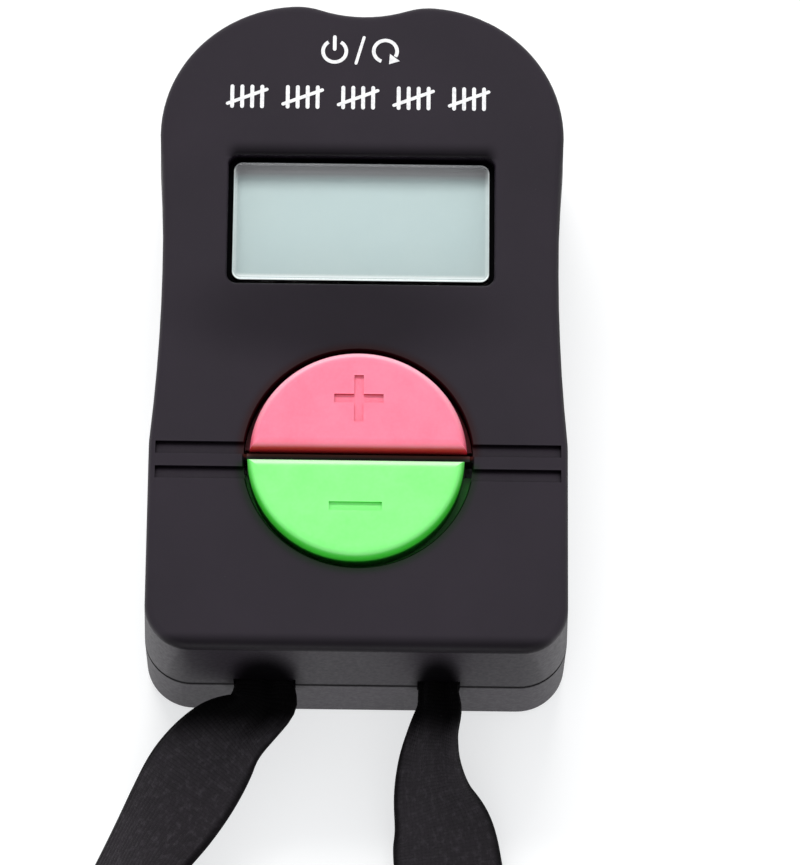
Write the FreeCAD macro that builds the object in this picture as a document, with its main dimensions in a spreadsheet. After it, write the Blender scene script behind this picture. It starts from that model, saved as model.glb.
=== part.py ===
import FreeCAD, Part
import math
import os
import Sketcher

# Electronic row counter: a hand-held plastic case with a liquid-crystal display, a plus key and a
# minus key that share one round opening, a reset key in the finger notch of the top end, a
# coin-slot battery cover in the back, and a ribbon strap threaded round the bridge between two
# slots.
#
# Frame, millimetres: origin on the back face at mid length, +X to the user's right, +Y towards
# the notched top end, +Z out through the display.  The case lies on its back.

V = FreeCAD.Vector
doc = FreeCAD.newDocument("row_counter")
sheet = doc.addObject("Spreadsheet::Sheet", "dims")

DIMENSIONS = dict(
    # overlap of joined pieces and overrun of through cuts
    margin=0.1,
    # case outline
    case_length=63.38, hip_half=19.15, waist_half=18.33, case_depth=17.5,
    seam_height=8.35, seam_bevel=0.2, front_draft=0.25, end_draft=0.40,
    wall_side=1.6, wall_face=1.8, wall_floor=1.6,
    hump_radius=7.0, shoulder_radius=13.13, shoulder_centre=18.575, notch_depth=0.98,
    waist_radius=170.0, waist_centre=5.21, hip_radius=12.0, foot_radius=4.4,
    face_edge_radius=0.75, back_edge_radius=0.8,
    tongue_inset=0.9, tongue_height=0.9, rabbet_inset=0.8, rabbet_depth=1.0,
    # display window and display stack
    window_width=24.4, window_height=12.6, window_centre=10.05, window_corner=0.9,
    window_edge_radius=0.3,
    lens_width=27.0, lens_height=15.6, lens_thickness=1.0, lens_top=16.95,
    lens_plate_corner=0.6, lens_gap_side=0.46, lens_gap_end=0.56, lens_corner=0.8,
    lens_edge_radius=0.22, lens_gap_below=0.02,
    glass_thickness=0.55, glass_height=18.0, ledge_height=2.4,
    polariser_thickness=0.2, polariser_width=25.8, polariser_inset_low=0.2,
    polariser_inset_high=0.4,
    frame_wall=1.0, frame_bottom=12.0, frame_gap=0.2,
    zebra_thickness=1.8, zebra_length=25.6, zebra_inset=0.25,
    # keys
    key_centre=-13.03, key_hole_radius=10.35, bar_half=0.28, hole_chamfer=0.12,
    lead_in_overrun=0.3,
    key_radius=9.8, key_flat=0.45, key_top=18.8, key_edge=1.0,
    key_flange_radius=11.1, key_flange_flat=1.2, key_bottom=14.65, key_flange_thickness=1.0,
    key_hollow_radius=8.3, key_hollow_flat=1.6, key_hollow_top=17.2,
    key_post_radius=2.6, key_post_drop=0.7, dome_offset=4.6,
    symbol_stroke=0.85, symbol_depth=0.28, plus_size=4.45, plus_offset=5.20,
    minus_size=4.75, minus_offset=5.04, minus_key_shift=0.2,
    # decorative grooves beside the keys
    upper_groove_low=-12.80, lower_groove_low=-15.15, groove_width=1.17, groove_depth=0.42,
    groove_shallow=0.14, groove_reach=18.3, groove_overrun=0.4,
    # board
    board_top=10.8, board_thickness=1.2, board_half_width=15.6, board_low=-23.8,
    board_high=19.6, board_tongue_half=9.4, board_tongue_high=26.4,
    board_screw_x=14.0, board_screw_low=-21.6, board_screw_high=-3.0,
    board_hole_radius=0.9, post_radius=1.85, post_pilot_radius=0.78, post_pilot_depth=4.0,
    board_screw_radius=0.75, board_screw_length=4.6, board_head_radius=1.5,
    board_head_height=1.0,
    # chip blob and contact pads on the board
    blob_centre=9.5, blob_ball_radius=8.44, blob_height=1.3, blob_foot_radius=4.4,
    blob_foot_height=2.0,
    pad_radius=2.9, pad_thickness=0.05, pad_half_gap=0.12,
    # case screws
    screw_x_low=14.6, screw_y_low=-26.6, screw_x_high=12.6, screw_y_high=22.6,
    boss_radius=2.3, boss_pilot_radius=1.0, boss_pilot_depth=6.2,
    screw_radius=0.98, screw_length=9.0, screw_head_radius=1.85, screw_head_height=1.3,
    recess_length=1.8, recess_width=0.45, recess_overrun=0.2,
    back_boss_radius=2.9, back_boss_top=7.2, counterbore_radius=2.15, counterbore_depth=3.0,
    clearance_radius=1.15, clearance_overrun=0.5, front_boss_bottom=7.4,
    # battery bay
    bay_centre=11.0, bay_radius=7.9, bay_wall=1.2, bay_top=8.0, ledge_top=1.95,
    ledge_overlap=0.2, bay_rib_bottom=3.0, bay_rib_inner=5.95, bay_rib_half=0.5,
    bay_rib_overlap=0.3,
    # battery cover
    cover_recess_radius=8.65, cover_recess_depth=1.25, cover_opening_radius=6.8,
    cover_play=0.25, cover_hub_play=0.15, cover_bottom=0.2, cover_thickness=1.0,
    cover_edge_radius=0.25, cover_hub_top=2.8,
    lug_radius=7.7, lug_bottom=2.0, lug_half_angle=14.0, lug_overlap=0.4,
    keyway_half_angle=18.0, keyway_play=0.25, keyway_overlap=0.5, cover_open_angle=40.0,
    coin_slot_length=10.5, coin_slot_width=1.5, coin_slot_depth=0.7,
    index_dot_inset=1.6, index_dot_radius=0.55, index_dot_depth=0.35,
    # cell and its contacts
    cell_radius=5.8, cell_bottom=2.85, cell_can_height=4.75, cell_height=5.4,
    cell_cap_radius=4.55, cell_edge_radius=0.45,
    leaf_thickness=0.25, leaf_gap=0.04, negative_leaf_width=3.0, positive_leaf_width=4.0,
    positive_leaf_kink=0.25, positive_foot_reach=3.8,
    # reset key and its switch
    reset_z=12.4, reset_tip=31.5, reset_hole_width=5.0, reset_hole_height=2.6,
    reset_play=0.15, reset_cut_start=1.0, reset_cut_depth=5.0, reset_edge_radius=0.45,
    reset_flange_outer=28.85, reset_flange_inner=28.05,
    reset_flange_width=6.4, reset_flange_height=3.8, reset_flange_corner=0.5,
    switch_width=6.0, switch_size=3.5, switch_front=26.4,
    plunger_width=2.6, plunger_height=1.0, plunger_play=0.15, plunger_inside=0.75,
    # silicone membrane
    mat_half_width=12.0, mat_high=-3.4, mat_low=-22.7, mat_thickness=0.8, mat_corner=1.5,
    mat_hole_radius=4.5, dome_base_radius=4.55, dome_shoulder_radius=4.25,
    dome_top_radius=3.4, dome_side_height=2.3, dome_mouth_radius=3.85,
    dome_ceiling_radius=2.9, dome_post_gap=0.05,
    pill_radius=2.4, pill_thickness=0.5, pill_bottom=11.95,
    # strap
    left_slot_inner=5.4, left_slot_outer=11.0, right_slot_inner=5.6, right_slot_outer=9.45,
    slot_low=7.2, slot_high=9.65, slot_start=0.5, slot_overrun=0.2,
    strap_z=8.4, strap_width=10.0, strap_thickness=0.8, anchor_x=7.75, anchor_depth=28.1,
    anchor_half_width=1.3, anchor_half_height=1.1, anchor_corner=0.7, anchor_bend=2.3,
    anchor_end=31.87,
)

# Corner radius of a round-ended slot as a share of its width, just short of a full half round.
END_ROUNDING = 0.49
# How far an edge may stray from a level and still count as lying on it.
LEVEL_TOLERANCE = 1e-4
# Least volume that a cut has to take away.
LEAST_CUT = 1e-4

# Small parts on the rear side of the board: x, y, length, width, height
COMPONENTS = [
    (-12.5, 2.0, 2.0, 1.25, 0.6), (-12.5, 4.2, 2.0, 1.25, 0.6), (10.8, 3.0, 2.0, 1.25, 0.6),
    (-4.0, -7.5, 3.2, 1.6, 0.9), (3.4, -7.0, 1.25, 2.0, 0.6), (-10.5, -16.0, 2.0, 1.25, 0.6),
]

# Stations of the ribbon outside the case: centre x, y, z, roll about the path in degrees,
# share of the full width
STRAP_STATIONS = [
    (-8.25, -32.25, 8.4, 0, 0.56), (-8.28, -33.30, 8.34, 0, 0.6),
    (-9.1, -34.60, 8.1, 0, 0.57), (-11.7, -36.50, 7.5, 0, 0.78),
    (-14.03, -39.20, 6.2, -4, 0.91), (-16.42, -42.80, 4.8, -18, 0.96),
    (-19.06, -47.00, 3.75, -31, 0.95), (-21.4, -52.00, 3.25, -35, 1),
    (-24.2, -58.80, 3.43, -38, 1), (-26.9, -66.60, 3.92, -46, 1),
    (-29.0, -75.20, 4.54, -59, 1), (-29.7, -84.20, 4.96, -73, 1),
    (-28.6, -93.20, 5.2, -84, 1), (-25.0, -101.80, 5.2, -90, 1),
    (-18.9, -108.50, 5.2, -90, 1), (-10.6, -112.80, 5.2, -90, 1),
    (-1.2, -114.20, 5.2, -90, 1), (8.2, -112.80, 5.2, -90, 1),
    (16.4, -108.40, 5.2, -90, 1), (22.4, -101.20, 5.2, -87, 1),
    (25.3, -92.20, 5.1, -74, 1), (25.0, -83.00, 4.13, -50, 1),
    (22.0, -74.40, 2.7, -27, 1), (17.6, -66.80, 1.4, -10, 1),
    (13.2, -60.20, 0.7, -2, 1), (10.3, -56.00, 0.66, 0, 1),
    (9.2, -52.00, 0.88, 0, 1), (8.7, -47.50, 1.65, 0, 0.97),
    (8.1, -43.80, 3.0, -5, 0.91), (7.1, -40.80, 4.5, -8, 0.71),
    (6.81, -38.20, 6.1, -8, 0.56), (7.1, -35.80, 7.5, -5, 0.45),
    (7.6, -33.80, 8.25, -2, 0.38), (7.46, -32.25, 8.4, 0, 0.34),
]
# How much thicker the ribbon gets for each share of its width that is gathered in.
GATHER_THICKENING = 0.5

for row, (name, value) in enumerate(DIMENSIONS.items(), start=1):
    sheet.set("A%d" % row, name)
    sheet.set("B%d" % row, repr(value))
    sheet.setAlias("B%d" % row, name)
doc.recompute()


# ---------------------------------------------------------------- sizes

class Size:
    """A size with its value and the expression that gives it from the sheet."""

    def __init__(self, value, text):
        self.value, self.text = float(value), text

    @staticmethod
    def of(x):
        return x if isinstance(x, Size) else Size(x, "(%s)" % repr(float(x)))

    def _join(self, other, sign, result):
        other = Size.of(other)
        text = "(%s %s %s)" % (self.text, sign, other.text)
        return Size(result(self.value, other.value), text)

    def __add__(self, other):
        return self._join(other, "+", lambda a, b: a + b)

    def __sub__(self, other):
        return self._join(other, "-", lambda a, b: a - b)

    def __mul__(self, other):
        return self._join(other, "*", lambda a, b: a * b)

    def __truediv__(self, other):
        return self._join(other, "/", lambda a, b: a / b)

    def __radd__(self, other):
        return Size.of(other) + self

    def __neg__(self):
        return Size.of(0) - self


class Dims:
    """Reads a size from the sheet by its alias."""

    def __getattr__(self, name):
        return Size(float(sheet.get(name)), "dims." + name)


D = Dims()


def cosd(angle):
    angle = Size.of(angle)
    return Size(math.cos(math.radians(angle.value)), "cos(%s * 1 deg)" % angle.text)


def sind(angle):
    angle = Size.of(angle)
    return Size(math.sin(math.radians(angle.value)), "sin(%s * 1 deg)" % angle.text)


def bind(obj, prop, size):
    obj.setExpression(prop, Size.of(size).text)


# ---------------------------------------------------------------- sketches

def plane_of(body, role):
    for feature in body.Origin.OriginFeatures:
        if feature.Role == role:
            return feature


def new_body(label):
    body = doc.addObject("PartDesign::Body", label)
    body.Label = label
    return body


def sketch_on(body, name, offset=0.0, plane="XY_Plane"):
    """Sketch on a body plane, moved by offset along the normal: +Z, +X for YZ, -Y for XZ."""
    sketch = body.newObject("Sketcher::SketchObject", name)
    sketch.AttachmentSupport = [(plane_of(body, plane), "")]
    sketch.MapMode = "FlatFace"
    bind(sketch, "AttachmentOffset.Base.z", offset)
    return sketch


def constrain(sketch, *args):
    sketch.addConstraint(Sketcher.Constraint(*args))


def drive(sketch, kind, *args):
    """Adds a constraint whose last argument is a size, and ties it to the sheet."""
    size = Size.of(args[-1])
    index = sketch.addConstraint(Sketcher.Constraint(kind, *args[:-1], size.value))
    if "dims." in size.text:
        sketch.setExpression("Constraints[%d]" % index, size.text)


def place_point(sketch, geometry, position, x, y):
    drive(sketch, "DistanceX", -1, 1, geometry, position, x)
    drive(sketch, "DistanceY", -1, 1, geometry, position, y)


def segment(x0, y0, x1, y1):
    return Part.LineSegment(V(x0, y0, 0), V(x1, y1, 0))


def arc(x, y, radius, start, end):
    return Part.ArcOfCircle(Part.Circle(V(x, y, 0), V(0, 0, 1), radius), start, end)


def closed_lines(sketch, corners):
    """Lines from corner to corner, joined in a ring; gives the first line's index."""
    first = sketch.GeometryCount
    count = len(corners)
    for i in range(count):
        sketch.addGeometry(segment(*corners[i], *corners[(i + 1) % count]), False)
    for i in range(count):
        constrain(sketch, "Coincident", first + i, 2, first + (i + 1) % count, 1)
    return first


def polygon(sketch, points):
    """Closed polygon with every corner placed from the sheet."""
    points = [(Size.of(x), Size.of(y)) for x, y in points]
    first = closed_lines(sketch, [(x.value, y.value) for x, y in points])
    for i, (x, y) in enumerate(points):
        place_point(sketch, first + i, 1, x, y)


def rectangle(sketch, x0, x1, y0, y1):
    x0, x1, y0, y1 = (Size.of(v) for v in (x0, x1, y0, y1))
    left, right, low, high = x0.value, x1.value, y0.value, y1.value
    first = closed_lines(sketch, [(left, low), (right, low), (right, high), (left, high)])
    for i, direction in enumerate(("Horizontal", "Vertical", "Horizontal", "Vertical")):
        constrain(sketch, direction, first + i)
    place_point(sketch, first, 1, x0, y0)
    place_point(sketch, first + 1, 2, x1, y1)


def centred_rectangle(sketch, width, y0, y1):
    rectangle(sketch, -width / 2, width / 2, y0, y1)


def rounded_rectangle(sketch, x0, x1, y0, y1, corner):
    first = sketch.GeometryCount
    left, right, low, high, r = (Size.of(v).value for v in (x0, x1, y0, y1, corner))
    sides = [
        (left + r, low, right - r, low), (right, low + r, right, high - r),
        (right - r, high, left + r, high), (left, high - r, left, low + r),
    ]
    # centre and start angle of each corner arc
    corners = [
        (right - r, low + r, -90), (right - r, high - r, 0),
        (left + r, high - r, 90), (left + r, low + r, 180),
    ]
    for side, (x, y, start) in zip(sides, corners):
        sketch.addGeometry(segment(*side), False)
        turn = arc(x, y, r, math.radians(start), math.radians(start + 90))
        sketch.addGeometry(turn, False)
    for i in range(4):
        line, turn, following = first + 2 * i, first + 2 * i + 1, first + (2 * i + 2) % 8
        constrain(sketch, "Tangent", line, 2, turn, 1)
        constrain(sketch, "Tangent", turn, 2, following, 1)
        constrain(sketch, "Horizontal" if i % 2 == 0 else "Vertical", line)
        drive(sketch, "Radius", turn, corner)
    drive(sketch, "DistanceY", -1, 1, first, 1, y0)
    drive(sketch, "DistanceX", -1, 1, first + 2, 1, x1)
    drive(sketch, "DistanceY", -1, 1, first + 4, 1, y1)
    drive(sketch, "DistanceX", -1, 1, first + 6, 1, x0)


def centred_rounded(sketch, width, height, centre, corner):
    """Rounded rectangle centred on the sketch's upright axis, at height centre."""
    y0, y1 = centre - height / 2, centre + height / 2
    rounded_rectangle(sketch, -width / 2, width / 2, y0, y1, corner)


def round_ended(sketch, width, height, centre):
    centred_rounded(sketch, width, height, centre, height * END_ROUNDING)


def circle(sketch, x, y, radius):
    x, y, radius = Size.of(x), Size.of(y), Size.of(radius)
    shape = Part.Circle(V(x.value, y.value, 0), V(0, 0, 1), radius.value)
    index = sketch.addGeometry(shape, False)
    place_point(sketch, index, 3, x, y)
    drive(sketch, "Radius", index, radius)


def half_round(sketch, centre, radius, flat, side):
    """A D: the part of a circle beyond a flat, above it for side 1 and below it for side -1."""
    r = radius.value
    tilt = math.asin(flat.value / r)
    x = r * math.cos(tilt)
    y = centre.value + side * flat.value
    start = tilt if side > 0 else math.pi + tilt
    end = math.pi - tilt if side > 0 else 2 * math.pi - tilt
    bow = sketch.addGeometry(arc(0, centre.value, r, start, end), False)
    line = sketch.addGeometry(segment(-side * x, y, side * x, y), False)
    constrain(sketch, "Coincident", bow, 2, line, 1)
    constrain(sketch, "Coincident", line, 2, bow, 1)
    constrain(sketch, "Horizontal", line)
    place_point(sketch, bow, 3, 0.0, centre)
    drive(sketch, "Radius", bow, radius)
    drive(sketch, "DistanceY", -1, 1, line, 1, centre + flat * side)


def lug_shape(sketch, root_radius, tip_radius, middle_angle, half_angle):
    """A five-cornered tab round the battery bay's axis, reaching from root to tip radius."""
    corners = ((root_radius, -1), (tip_radius, -1), (tip_radius, 0), (tip_radius, 1),
               (root_radius, 1))
    points = []
    for radius, step in corners:
        angle = middle_angle + half_angle * step
        points.append((radius * cosd(angle), D.bay_centre + radius * sind(angle)))
    polygon(sketch, points)


def outline_pieces(hip_x, foot_r, hip_r, waist_r, shoulder_r, hump_r,
                   waist_x, waist_y, shoulder_y, hump_y, low_y, top_y):
    """Lines and arcs of the half outline, tangent at every joint before the solver runs."""
    hip_y = waist_y - math.sqrt((waist_r + hip_r) ** 2 - (waist_x - hip_x + hip_r) ** 2)
    hip_end = math.asin((waist_y - hip_y) / (waist_r + hip_r))
    shoulder_x = waist_x - math.sqrt((waist_r + shoulder_r) ** 2 - (shoulder_y - waist_y) ** 2)
    waist_end = math.asin((shoulder_y - waist_y) / (waist_r + shoulder_r))
    hump_x = shoulder_x + math.sqrt((shoulder_r - hump_r) ** 2 - (hump_y - shoulder_y) ** 2)
    shoulder_end = math.atan2(hump_y - shoulder_y, hump_x - shoulder_x)
    rise = top_y - hump_y
    notch_r = (hump_x ** 2 + rise ** 2 - hump_r ** 2) / (2 * (hump_r - rise))
    notch_y = top_y + notch_r
    hump_end = math.atan2(notch_y - hump_y, -hump_x)
    notch_end = math.atan2(hump_y - notch_y, hump_x)
    return [
        segment(0, low_y, hip_x - foot_r, low_y),
        arc(hip_x - foot_r, low_y + foot_r, foot_r, -math.pi / 2, 0),
        segment(hip_x, low_y + foot_r, hip_x, hip_y),
        arc(hip_x - hip_r, hip_y, hip_r, 0, hip_end),
        arc(waist_x, waist_y, waist_r, math.pi - waist_end, math.pi + hip_end),
        arc(shoulder_x, shoulder_y, shoulder_r, -waist_end, shoulder_end),
        arc(hump_x, hump_y, hump_r, shoulder_end, hump_end),
        arc(0, notch_y, notch_r, -math.pi / 2, notch_end),
        segment(0, top_y, 0, low_y),
    ]


def half_outline(body, name, height=0.0, inset=0.0, end_inset=0.0):
    """Sketch of the right half of the case outline, shrunk evenly by inset: bottom, foot
    corner, hip, long concave waist, shoulder, hump and finger notch, closed along the centre
    line.  The bottom end is drawn in further by end_inset."""
    sketch = sketch_on(body, name, height)
    half = D.case_length / 2
    hip_x = D.hip_half - inset
    foot_r, hip_r = D.foot_radius - inset, D.hip_radius - inset
    waist_r = D.waist_radius + inset
    shoulder_r, hump_r = D.shoulder_radius - inset, D.hump_radius - inset
    waist_x, waist_y = D.waist_half + D.waist_radius, D.waist_centre
    shoulder_y, hump_y = D.shoulder_centre, half - D.hump_radius
    low_y, top_y = -(half - inset - end_inset), half - D.notch_depth - inset
    sizes = (hip_x, foot_r, hip_r, waist_r, shoulder_r, hump_r,
             waist_x, waist_y, shoulder_y, hump_y, low_y, top_y)
    for piece in outline_pieces(*(size.value for size in sizes)):
        sketch.addGeometry(piece, False)
    bottom, foot, side, hip, waist, shoulder, hump, notch, centre_line = range(9)
    for relation in (
            ("Tangent", bottom, 2, foot, 1), ("Tangent", foot, 2, side, 1),
            ("Tangent", side, 2, hip, 1), ("Tangent", hip, 2, waist, 2),
            ("Tangent", waist, 1, shoulder, 1), ("Tangent", shoulder, 2, hump, 1),
            ("Tangent", hump, 2, notch, 2), ("Coincident", notch, 1, centre_line, 1),
            ("Coincident", centre_line, 2, bottom, 1), ("PointOnObject", notch, 3, -2),
            ("PointOnObject", centre_line, 1, -2), ("Vertical", centre_line),
            ("Horizontal", bottom), ("Vertical", side)):
        constrain(sketch, *relation)
    drive(sketch, "DistanceY", -1, 1, bottom, 1, low_y)
    drive(sketch, "DistanceX", -1, 1, side, 1, hip_x)
    for piece, radius in ((foot, foot_r), (hip, hip_r), (waist, waist_r),
                          (shoulder, shoulder_r), (hump, hump_r)):
        drive(sketch, "Radius", piece, radius)
    drive(sketch, "DistanceY", -1, 1, hump, 3, hump_y)
    drive(sketch, "DistanceY", -1, 1, notch, 1, top_y)
    place_point(sketch, waist, 3, waist_x, waist_y)
    drive(sketch, "DistanceY", -1, 1, shoulder, 3, shoulder_y)
    return sketch


# ---------------------------------------------------------------- features

def finish(body, feature):
    body.Tip = feature
    doc.recompute()
    return feature


def pad(body, sketch, length, both=False):
    feature = body.newObject("PartDesign::Pad", sketch.Name + "_pad")
    feature.Profile = sketch
    bind(feature, "Length", length)
    if both:
        feature.SideType = "Symmetric"
    return finish(body, feature)


def pocket(body, sketch, depth, along=False, both=False):
    """Cuts against the sketch's normal, or along it, and makes sure that it cut."""
    before = body.Shape.Volume
    feature = body.newObject("PartDesign::Pocket", sketch.Name + "_pocket")
    feature.Profile = sketch
    bind(feature, "Length", depth)
    if both:
        feature.SideType = "Symmetric"
    feature.Reversed = along
    finish(body, feature)
    if not body.Shape.Volume < before - LEAST_CUT:
        raise RuntimeError("%s cut nothing from %s" % (feature.Name, body.Label))
    return feature


def mirror(body, features):
    feature = body.newObject("PartDesign::Mirrored", "halves")
    feature.Originals = features
    feature.MirrorPlane = (plane_of(body, "YZ_Plane"), [""])
    return finish(body, feature)


def turned(body, name, points, centre, cut=False):
    """Revolves a closed (radius, height) polygon about the upright line through (0, centre)."""
    sketch = sketch_on(body, name, plane="YZ_Plane")
    polygon(sketch, [(centre + radius, z) for radius, z in points])
    axis = sketch.addGeometry(segment(centre.value, 0, centre.value, 5), True)
    place_point(sketch, axis, 1, centre, 0.0)
    place_point(sketch, axis, 2, centre, 5.0)
    kind = "PartDesign::Groove" if cut else "PartDesign::Revolution"
    before = body.Shape.Volume
    feature = body.newObject(kind, name + "_turn")
    feature.Profile = sketch
    feature.ReferenceAxis = (sketch, ["Axis0"])
    feature.Angle = 360.0
    finish(body, feature)
    if cut and not body.Shape.Volume < before - LEAST_CUT:
        raise RuntimeError(name + " cut nothing")


def level(edge, height, axis="Z"):
    """Whether the whole edge lies at one height along an axis."""
    box = edge.BoundBox
    ends = getattr(box, axis + "Min"), getattr(box, axis + "Max")
    return all(abs(end - height) < LEVEL_TOLERANCE for end in ends)


def soften(body, base, test, size, kind="Fillet"):
    """Fillets, or chamfers, the edges of base that pass the test."""
    names = ["Edge%d" % i for i, edge in enumerate(base.Shape.Edges, start=1) if test(edge)]
    if not names:
        raise RuntimeError("no edge to round on " + body.Label)
    feature = body.newObject("PartDesign::" + kind, "edges")
    feature.Base = (base, names)
    bind(feature, "Radius" if kind == "Fillet" else "Size", size)
    return finish(body, feature)


def soften_level(body, base, height, size, kind="Fillet", axis="Z"):
    return soften(body, base, lambda edge: level(edge, height.value, axis), size, kind)


def add_circles(body, name, height, places, radius, length):
    sketch = sketch_on(body, name, height)
    for x, y in places:
        circle(sketch, x, y, radius)
    return pad(body, sketch, length)


def cut_circles(body, name, height, places, radius, depth, upward=True):
    sketch = sketch_on(body, name, height)
    for x, y in places:
        circle(sketch, x, y, radius)
    pocket(body, sketch, depth, along=upward)


def slab(label, width, y0, y1, bottom, thickness):
    """A plain rectangular piece, centred from side to side, standing on height bottom."""
    body = new_body(label)
    sketch = sketch_on(body, label + "_outline", bottom)
    centred_rectangle(sketch, width, y0, y1)
    pad(body, sketch, thickness)
    return body


def primitive(kind, name, x, y, z, turn=0.0, **sizes):
    """A Part primitive with its sizes and base point bound, turned about +Z by degrees."""
    obj = doc.addObject("Part::" + kind, name)
    obj.Placement = FreeCAD.Placement(V(0, 0, 0), FreeCAD.Rotation(V(0, 0, 1), turn))
    for prop, size in sizes.items():
        bind(obj, prop, size)
    for axis, size in zip("xyz", (x, y, z)):
        bind(obj, "Placement.Base." + axis, size)
    return obj


def combine(kind, name, base, tool):
    obj = doc.addObject("Part::" + kind, name)
    obj.Base, obj.Tool = base, tool
    obj.Label = name
    return obj


def compound(label, links):
    group = doc.addObject("Part::Compound", label)
    group.Links = links
    group.Label = label


# ---------------------------------------------------------------- shared places

def four_places(x_low, y_low, x_high, y_high):
    """A pair of places either side of the centre line at y_low, and another at y_high."""
    return [(-x_low, y_low), (x_low, y_low), (-x_high, y_high), (x_high, y_high)]


case_screw_places = four_places(D.screw_x_low, D.screw_y_low, D.screw_x_high, D.screw_y_high)
board_screw_places = four_places(D.board_screw_x, D.board_screw_low,
                                 D.board_screw_x, D.board_screw_high)
bay_axis = [(0.0, D.bay_centre)]

face_in = D.case_depth - D.wall_face          # inner side of the front face
board_bottom = D.board_top - D.board_thickness
lens_high = D.window_centre + D.lens_height / 2
lens_bottom = face_in - D.lens_thickness
# the front glass reaches past the rear glass by a ledge, where the zebra connector meets it
glass_low = lens_high - D.glass_height
cell_low = glass_low + D.ledge_height
polariser_bottom = lens_bottom - D.lens_gap_below - D.polariser_thickness
front_glass_bottom = polariser_bottom - D.glass_thickness
rear_glass_bottom = front_glass_bottom - D.glass_thickness
reflector_bottom = rear_glass_bottom - D.polariser_thickness

cover_radius = D.cover_recess_radius - D.cover_play
cover_hub_radius = D.cover_opening_radius - D.cover_hub_play


def dome_centre(side):
    return D.key_centre + D.dome_offset * side


def cut_strap_slots(body, name, low, high):
    """Two slots through the bottom end wall, cut from outside towards +Y."""
    sketch = sketch_on(body, name, D.case_length / 2 + D.slot_start, "XZ_Plane")
    rectangle(sketch, -D.left_slot_outer, -D.left_slot_inner, low, high)
    rectangle(sketch, D.right_slot_inner, D.right_slot_outer, low, high)
    pocket(body, sketch, D.wall_side + D.slot_start + D.slot_overrun)


# ---------------------------------------------------------------- front shell

def front_block(body):
    """Flat face, drafted sides, open towards the back; drawn as a right half and mirrored."""
    seam_outline = half_outline(body, "front_outline", D.seam_height)
    face_outline = half_outline(body, "face_outline", D.case_depth, D.front_draft, D.end_draft)
    loft = body.newObject("PartDesign::AdditiveLoft", "front_block")
    loft.Profile = seam_outline
    loft.Sections = [face_outline]
    loft.Ruled = True
    whole = mirror(body, [finish(body, loft)])
    rounded = soften_level(body, whole, D.case_depth, D.face_edge_radius)
    soften_level(body, rounded, D.seam_height, D.seam_bevel, "Chamfer")
    sketch = half_outline(body, "front_cavity", D.seam_height, D.wall_side)
    cavity = pocket(body, sketch, face_in - D.seam_height, along=True)
    sketch = half_outline(body, "front_rabbet", D.seam_height, D.rabbet_inset)
    rabbet = pocket(body, sketch, D.rabbet_depth, along=True)
    mirror(body, [cavity, rabbet])


def front_inside(body):
    """The wall round the lens and glass, the screw bosses and the board posts."""
    sketch = sketch_on(body, "display_frame", D.frame_bottom)
    for wall in (D.frame_gap + D.frame_wall, D.frame_gap):
        centred_rectangle(sketch, D.lens_width + wall * 2, glass_low - wall, lens_high + wall)
    pad(body, sketch, face_in - D.frame_bottom)
    add_circles(body, "front_bosses", D.front_boss_bottom, case_screw_places, D.boss_radius,
                face_in - D.front_boss_bottom)
    add_circles(body, "board_posts", D.board_top, board_screw_places, D.post_radius,
                face_in - D.board_top)
    cut_circles(body, "boss_pilots", D.front_boss_bottom, case_screw_places,
                D.boss_pilot_radius, D.boss_pilot_depth)
    cut_circles(body, "post_pilots", D.board_top, board_screw_places,
                D.post_pilot_radius, D.post_pilot_depth)


def display_window(body):
    """The window, with a softened rim."""
    sketch = sketch_on(body, "window", D.case_depth)
    centred_rounded(sketch, D.window_width, D.window_height, D.window_centre, D.window_corner)
    window = pocket(body, sketch, D.wall_face + D.margin)
    slack = 0.01
    reach_x = D.window_width.value / 2 + slack
    reach_y = D.window_height.value / 2 + slack
    middle, top = D.window_centre.value, D.case_depth.value

    def on_rim(edge):
        box = edge.BoundBox
        within_x = abs(box.XMin) < reach_x and abs(box.XMax) < reach_x
        within_y = box.YMin > middle - reach_y and box.YMax < middle + reach_y
        return level(edge, top) and within_x and within_y

    soften(body, window, on_rim, D.window_edge_radius)


def key_opening(body):
    """The round key opening, split by a thin bar, with a small lead-in chamfer."""
    for side, name in ((1, "plus_opening"), (-1, "minus_opening")):
        sketch = sketch_on(body, name, D.case_depth)
        half_round(sketch, D.key_centre, D.key_hole_radius, D.bar_half, side)
        pocket(body, sketch, D.wall_face + D.margin)
    inside = D.key_hole_radius - D.lead_in_overrun
    outside = D.key_hole_radius + D.hole_chamfer
    above = D.case_depth + D.lead_in_overrun
    chamfer_low = D.case_depth - D.hole_chamfer
    profile = [
        (inside, above), (inside, chamfer_low - D.lead_in_overrun),
        (D.key_hole_radius, chamfer_low), (outside, D.case_depth), (outside, above),
    ]
    turned(body, "opening_lead_in", profile, D.key_centre, cut=True)


def face_grooves(body):
    """Two grooves that run from side to side past the keys, each with a steep upper wall and
    a floor that rises towards the bottom end."""
    above = D.case_depth + D.groove_overrun
    for name, low in (("upper_groove", D.upper_groove_low), ("lower_groove", D.lower_groove_low)):
        sketch = sketch_on(body, name, plane="YZ_Plane")
        high = low + D.groove_width
        polygon(sketch, [(low, above), (low, D.case_depth - D.groove_shallow),
                         (high, D.case_depth - D.groove_depth), (high, above)])
        pocket(body, sketch, D.groove_reach * 2, both=True)


def build_front_shell():
    body = new_body("front_shell")
    front_block(body)
    front_inside(body)
    display_window(body)
    key_opening(body)
    face_grooves(body)
    cut_strap_slots(body, "front_strap_slots", D.seam_height - D.slot_start, D.slot_high)
    start = -(D.case_length / 2 + D.reset_cut_start)
    sketch = sketch_on(body, "reset_opening", start, "XZ_Plane")
    round_ended(sketch, D.reset_hole_width, D.reset_hole_height, D.reset_z)
    pocket(body, sketch, D.reset_cut_depth, along=True)


# ---------------------------------------------------------------- rear shell

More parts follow.
